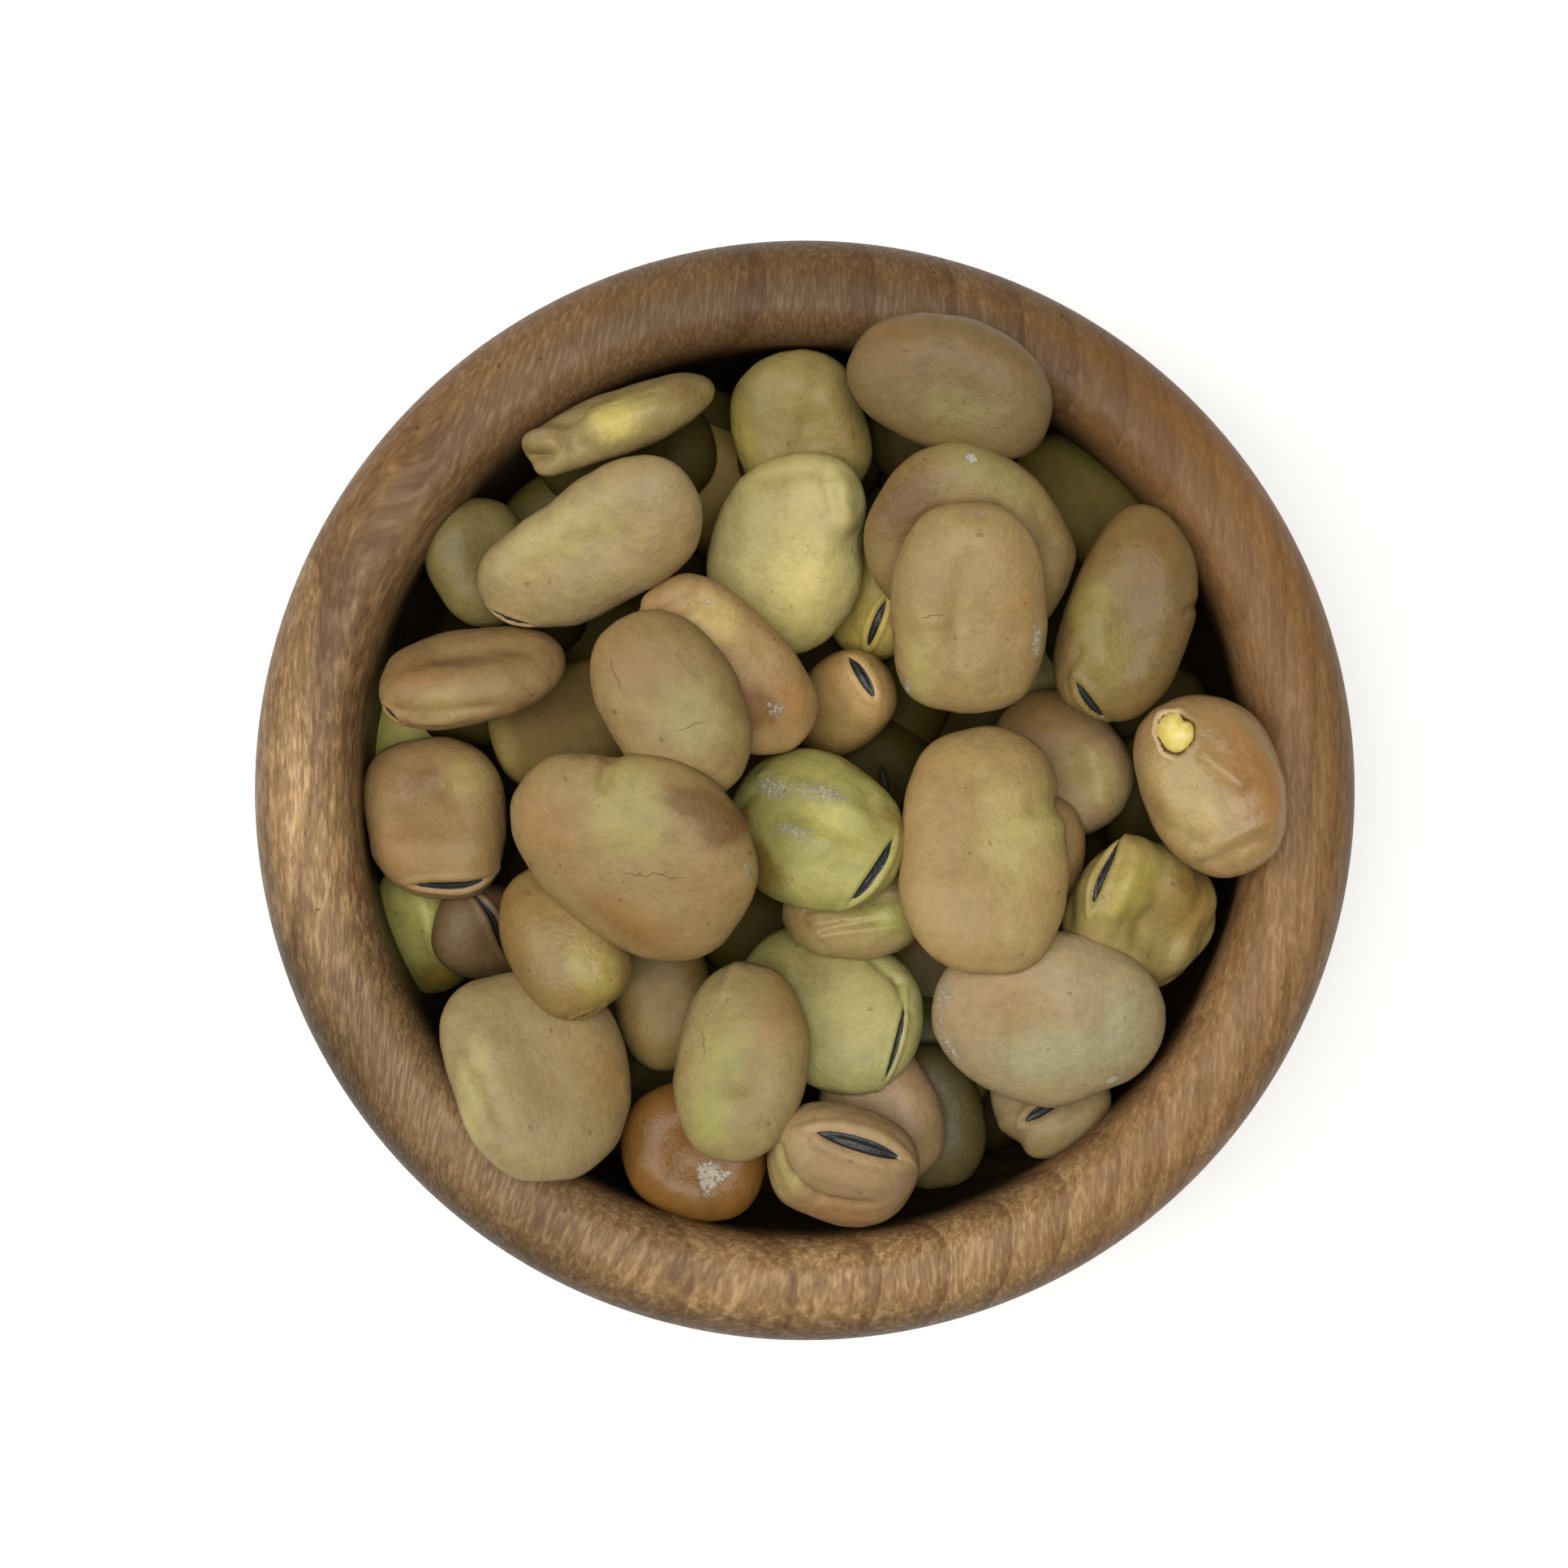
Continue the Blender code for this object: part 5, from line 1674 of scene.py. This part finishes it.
    def clear_of_bowl(self, bean: Bean, way: Array, place: Array) -> Array:
        """Moves a bean off the wall and the rim, until its skin clears both.

        Args:
            bean: The bean.
            way: Its rotation.
            place: Its middle.

        Returns:
            Its middle, moved.
        """
        bowl = self.bowl
        count = self.ring_points
        angles = 2.0 * math.pi * np.arange(count) / count
        rings = [self.form.surface(bean, Spots(angles, np.full(count, share), side))
                 for share, side in self.rings]
        local = np.concatenate(rings) @ way.T
        for _ in range(self.nudges):
            points = local + place
            radius = np.hypot(points[:, 0], points[:, 1])
            low = points[:, 2] < bowl.mouth_height
            past = radius - bowl.inner_radius(points[:, 2]) + self.skin_gap
            into_wall = np.where(low, past, 0.0)
            over_rim = radius > bowl.mouth_radius - self.skin_gap
            rim = bowl.rim_height(np.maximum(radius, bowl.mouth_radius))
            into_rim = np.where(over_rim & ~low, rim + self.skin_gap - points[:, 2], 0.0)
            k = into_wall.argmax()
            if into_wall[k] > 0.0:
                inward = points[k, :2] / radius[k] * (into_wall[k] + self.nudge)
                place = place - np.array([*inward, 0.0])
            elif into_rim.max() > 0.0:
                place = place + np.array([0.0, 0.0, into_rim.max() + self.nudge])
            else:
                break
        return place

    def settle(self) -> None:
        """Drops all the beans in order."""
        for bean in GAP_BEANS:
            self.drop(bean, self.gap_sink, self.core_middle)
        for bean in DEEP_BEANS:
            self.drop(bean, self.deep_sink - bean.lift, self.core_middle + 5.0)
        for bean in RAISED_BEANS:
            self.drop(bean, self.top_sink - bean.lift, self.bowl.height - 3.0)

    def core(self, material: Material) -> Object:
        """The low core under the beans.

        Args:
            material: The skins' material.

        Returns:
            The core's piece.
        """
        edge = self.bowl.hollow_radius
        while self.bowl.inner_height(edge) + self.core_gap > self.core_height(edge):
            edge -= self.nudge
        reach = np.linspace(0.0, edge - self.core_gap, self.core_rings)
        under = [(r, float(self.bowl.inner_height(r + self.core_gap * r / edge))
                  + self.core_gap) for r in reach]
        over = [(r, float(self.core_height(r)) + self.core_gap) for r in reach[::-1]]
        points, faces = turned([*over[::-1], *under[::-1]], self.core_segments)
        bumps = uneven(points, 7, self.core_lump_size, self.core_lumps)
        bumps *= points[:, 2] > self.core_edge
        points[:, 2] += np.minimum(bumps, 0.0)
        piece = mesh_piece("heap_core", points, faces, material)
        blank = Skin(points, np.zeros((0, 4), int))
        # Painted shade: the core is drawn in the shaded tone and darkened by core_shade
        shade = np.full((len(points), 3), self.core_shade)
        write_skin(piece.data, [self.record(blank, SOOT, shade, 0.1, 900)])
        return carry(piece, "beans")

    def painted_shade(self, points: Array) -> Array:
        """Painted shade: how light the skins stay, which darken lower in the heap, where its gaps lie in
        shade.

        Args:
            points: Places in the bowl's frame.

        Returns:
            A factor for each place, 1 on top of the heap.
        """
        reach = smooth(20.0, 48.0, np.hypot(points[:, 0], points[:, 1]))
        level = self.light_level - self.level_fall * reach
        light = smooth(0.0, 1.0, 1.0 - (level - points[:, 2]) / self.painted_shade_depth)
        return self.darkest + (1.0 - self.darkest) * light

    def record(self, skin: Skin, tone: Tone, shade: Array, gloss: float,
               seed: int) -> dict[str, Array]:
        """Everything that the material reads from a skin.

        Args:
            skin: The skin.
            tone: Its colours.
            shade: How light they are at each point, in red, green and blue, painted shade included.
            gloss: How shiny it is.
            seed: Moves its mottling away from that of other beans.

        Returns:
            Three numbers for each point, by attribute name.
        """
        count = len(skin.place)
        first, second = (shade * np.array(linear(c)[:3]) for c in tone.value)
        offset = np.array([37.0, 53.0, 71.0]) * seed
        return {
            "place": skin.place + offset, "skin": first, "second": second,
            "stain": skin.stain[:, :3],
            "fine": np.column_stack([np.full(count, gloss), skin.crack]),
            "scar": np.column_stack([skin.scar[:, :2], skin.stain[:, 3]]),
            "tear": skin.tear}

    def kernel(self, torn: Laid) -> Object:
        """The yellow seed leaf in the torn bean's hole.

        Args:
            torn: The torn bean.

        Returns:
            The seed leaf's piece.
        """
        ball, faces = quad_ball(self.kernel_grid)
        turn = np.arctan2(ball[:, 1], ball[:, 0]) - math.radians(self.cleft_turn)
        turn = np.abs(np.arctan2(np.sin(turn), np.cos(turn)))
        out = np.hypot(ball[:, 0], ball[:, 1])
        cleft = self.cleft_depth * np.exp(-(turn / self.cleft_width) ** 2) * out
        points = ball * np.array(self.kernel_size) * (1.0 - cleft[:, None])
        points[:, 2] -= self.kernel_dome * np.hypot(points[:, 0], points[:, 1]) ** 2
        points = torn.bring(points + np.array(self.kernel_place), self.top_level)
        piece = mesh_piece("yellow_kernel", points, faces.tolist(), self.kernel_finish.build())
        return carry(piece, "beans")

    def build(self) -> list[Object]:
        """Settles, meshes and dresses the beans.

        Returns:
            One piece for each tone, the core and the seed leaf.
        """
        self.settle()
        shown, deep = self.skin_finish.build(), self.deep_finish.build()
        pieces = [self.core(deep)]
        for tone in Tone:
            points, faces, records = [], [], []
            for seed, laid in enumerate(self.placed):
                bean = laid.bean
                if bean.tone is not tone:
                    continue
                skin = self.form.skin(bean, seed)
                faces.append(skin.faces + sum(len(p) for p in points))
                points.append(laid.bring(skin.place, self.top_level))
                # Painted shade: skins that face sideways and down are drawn darker, and all skins darken
                # lower in the heap, the blue fastest
                upward = smooth(-0.6, 0.5, (skin.normal @ laid.way.T)[:, 2])
                painted_shade = self.painted_shade(points[-1])
                painted_shade_tint = np.column_stack([painted_shade, painted_shade, painted_shade ** 1.5])
                shade = bean.shade * (0.72 + 0.28 * upward[:, None]) * painted_shade_tint
                records.append(self.record(skin, tone, shade, bean.gloss, seed))
            piece = mesh_piece(f"{tone.name.lower()}_beans", np.concatenate(points),
                               np.concatenate(faces).tolist(),
                               deep if tone in (SOOT, UMBER) else shown)
            write_skin(piece.data, records)
            pieces.append(carry(piece, "beans"))
        pieces.append(self.kernel(next(p for p in self.placed if p.bean.name == "torn_skin")))
        return pieces


def write_skin(mesh: Mesh, records: Sequence[dict[str, Array]]) -> None:
    """Stores what the material reads on a mesh.

    Args:
        mesh: The mesh.
        records: The numbers of each bean in it, in the order of its points.
    """
    for name in records[0]:
        numbers = np.concatenate([r[name] for r in records]).astype(np.float32)
        kind, key = "FLOAT_VECTOR", "vector"
        if name in ("skin", "second"):
            kind, key = "FLOAT_COLOR", "color"
            numbers = np.column_stack([numbers, np.ones(len(numbers), np.float32)])
        stored = mesh.attributes.new(name, kind, "POINT")
        stored.data.foreach_set(key, numbers.ravel())


@dataclass
class Studio:
    """A plain pale floor, soft light and the camera straight above the bowl."""

    rim_height: float = 54.0
    floor_reach: float = 1.6
    sensor: float = 36.0
    sky: float = 0.14
    overhead_power: float = 7.2
    overhead_size: float = 0.6
    overhead_height: float = 1.0
    key_power: float = 2.8
    key_size: float = 0.4
    key_distance: float = 0.9
    key_azimuth: float = 178.0
    key_elevation: float = 52.0
    floor_glow: float = 0.3
    paper: Rgb = (250, 250, 248)
    paper_shade: Rgb = (248, 248, 246)

    def floor(self) -> Object:
        """Makes the floor, which isn't part of the object.

        Returns:
            The floor.
        """
        reach = self.floor_reach / MM
        corners = [(-reach, -reach, 0.0), (reach, -reach, 0.0), (reach, reach, 0.0),
                   (-reach, reach, 0.0)]
        tree = Tree("pale floor")
        place = tree.add("ShaderNodeTexCoord").outputs["Object"]
        paper = tree.blend(tree.noise(place, 0.3), linear(self.paper_shade), linear(self.paper))
        material = tree.finish(paper, 0.9, 0.0)
        shader = next(n for n in tree.tree.nodes if n.type == "BSDF_PRINCIPLED")
        shader.inputs["Emission Color"].default_value = linear(self.paper)
        shader.inputs["Emission Strength"].default_value = self.floor_glow
        piece = mesh_piece("floor", np.array(corners), [(0, 1, 2, 3)], material)
        return piece

    def lamp(self, name: str, power: float, size: float, place: Array) -> None:
        """Adds a soft square lamp that looks at the bowl.

        Args:
            name: Its name.
            power: Its power in watts.
            size: The length of its side in metres.
            place: Where it hangs, in metres.
        """
        light = bpy.data.lights.new(name, "AREA")
        light.shape = "SQUARE"
        light.size = size
        light.energy = power
        lamp = bpy.data.objects.new(name, light)
        bpy.context.scene.collection.objects.link(lamp)
        lamp.location = place
        aim = lamp.location.copy()
        aim.z -= self.rim_height * MM
        lamp.rotation_euler = aim.to_track_quat("Z", "Y").to_euler()

    def lights(self) -> None:
        """Adds the sky, the overhead light and the key light."""
        world = bpy.data.worlds.new("pale room")
        world.use_nodes = True
        sky = world.node_tree.nodes["Background"]
        sky.inputs["Color"].default_value = (1.0, 1.0, 0.99, 1.0)
        sky.inputs["Strength"].default_value = self.sky
        bpy.context.scene.world = world
        self.lamp("overhead", self.overhead_power, self.overhead_size,
                  np.array([0.0, 0.0, self.overhead_height]))
        a, e = math.radians(self.key_azimuth), math.radians(self.key_elevation)
        way = np.array([math.cos(a) * math.cos(e), math.sin(a) * math.cos(e), math.sin(e)])
        self.lamp("key", self.key_power, self.key_size, way * self.key_distance)

    def camera(self) -> Object:
        """Hangs the camera over the bowl, looking straight down.

        Returns:
            The camera.
        """
        width = PICTURE / PIXELS_PER_MM
        data = bpy.data.cameras.new("camera")
        data.sensor_width = self.sensor
        data.lens = self.sensor * EYE_HEIGHT / width
        data.clip_start, data.clip_end = 0.01, 10.0
        camera = bpy.data.objects.new("camera", data)
        bpy.context.scene.collection.objects.link(camera)
        camera.location = (EYE_X * MM, EYE_Y * MM, (self.rim_height + EYE_HEIGHT) * MM)
        bpy.context.scene.camera = camera
        return camera

    def build(self) -> None:
        """Sets up everything round the object."""
        self.floor()
        self.lights()
        self.camera()
        bpy.context.scene.view_settings.view_transform = "Standard"
        log.info("studio ready")


def main() -> None:
    """Builds the bowl, the heap and the studio in order."""
    logging.basicConfig(level=logging.INFO, format="%(name)s: %(message)s")
    bowl = Bowl()
    bowl.build()
    Heap(bowl).build()
    Studio(rim_height=bowl.height).build()


if __name__ == "__main__":
    main()
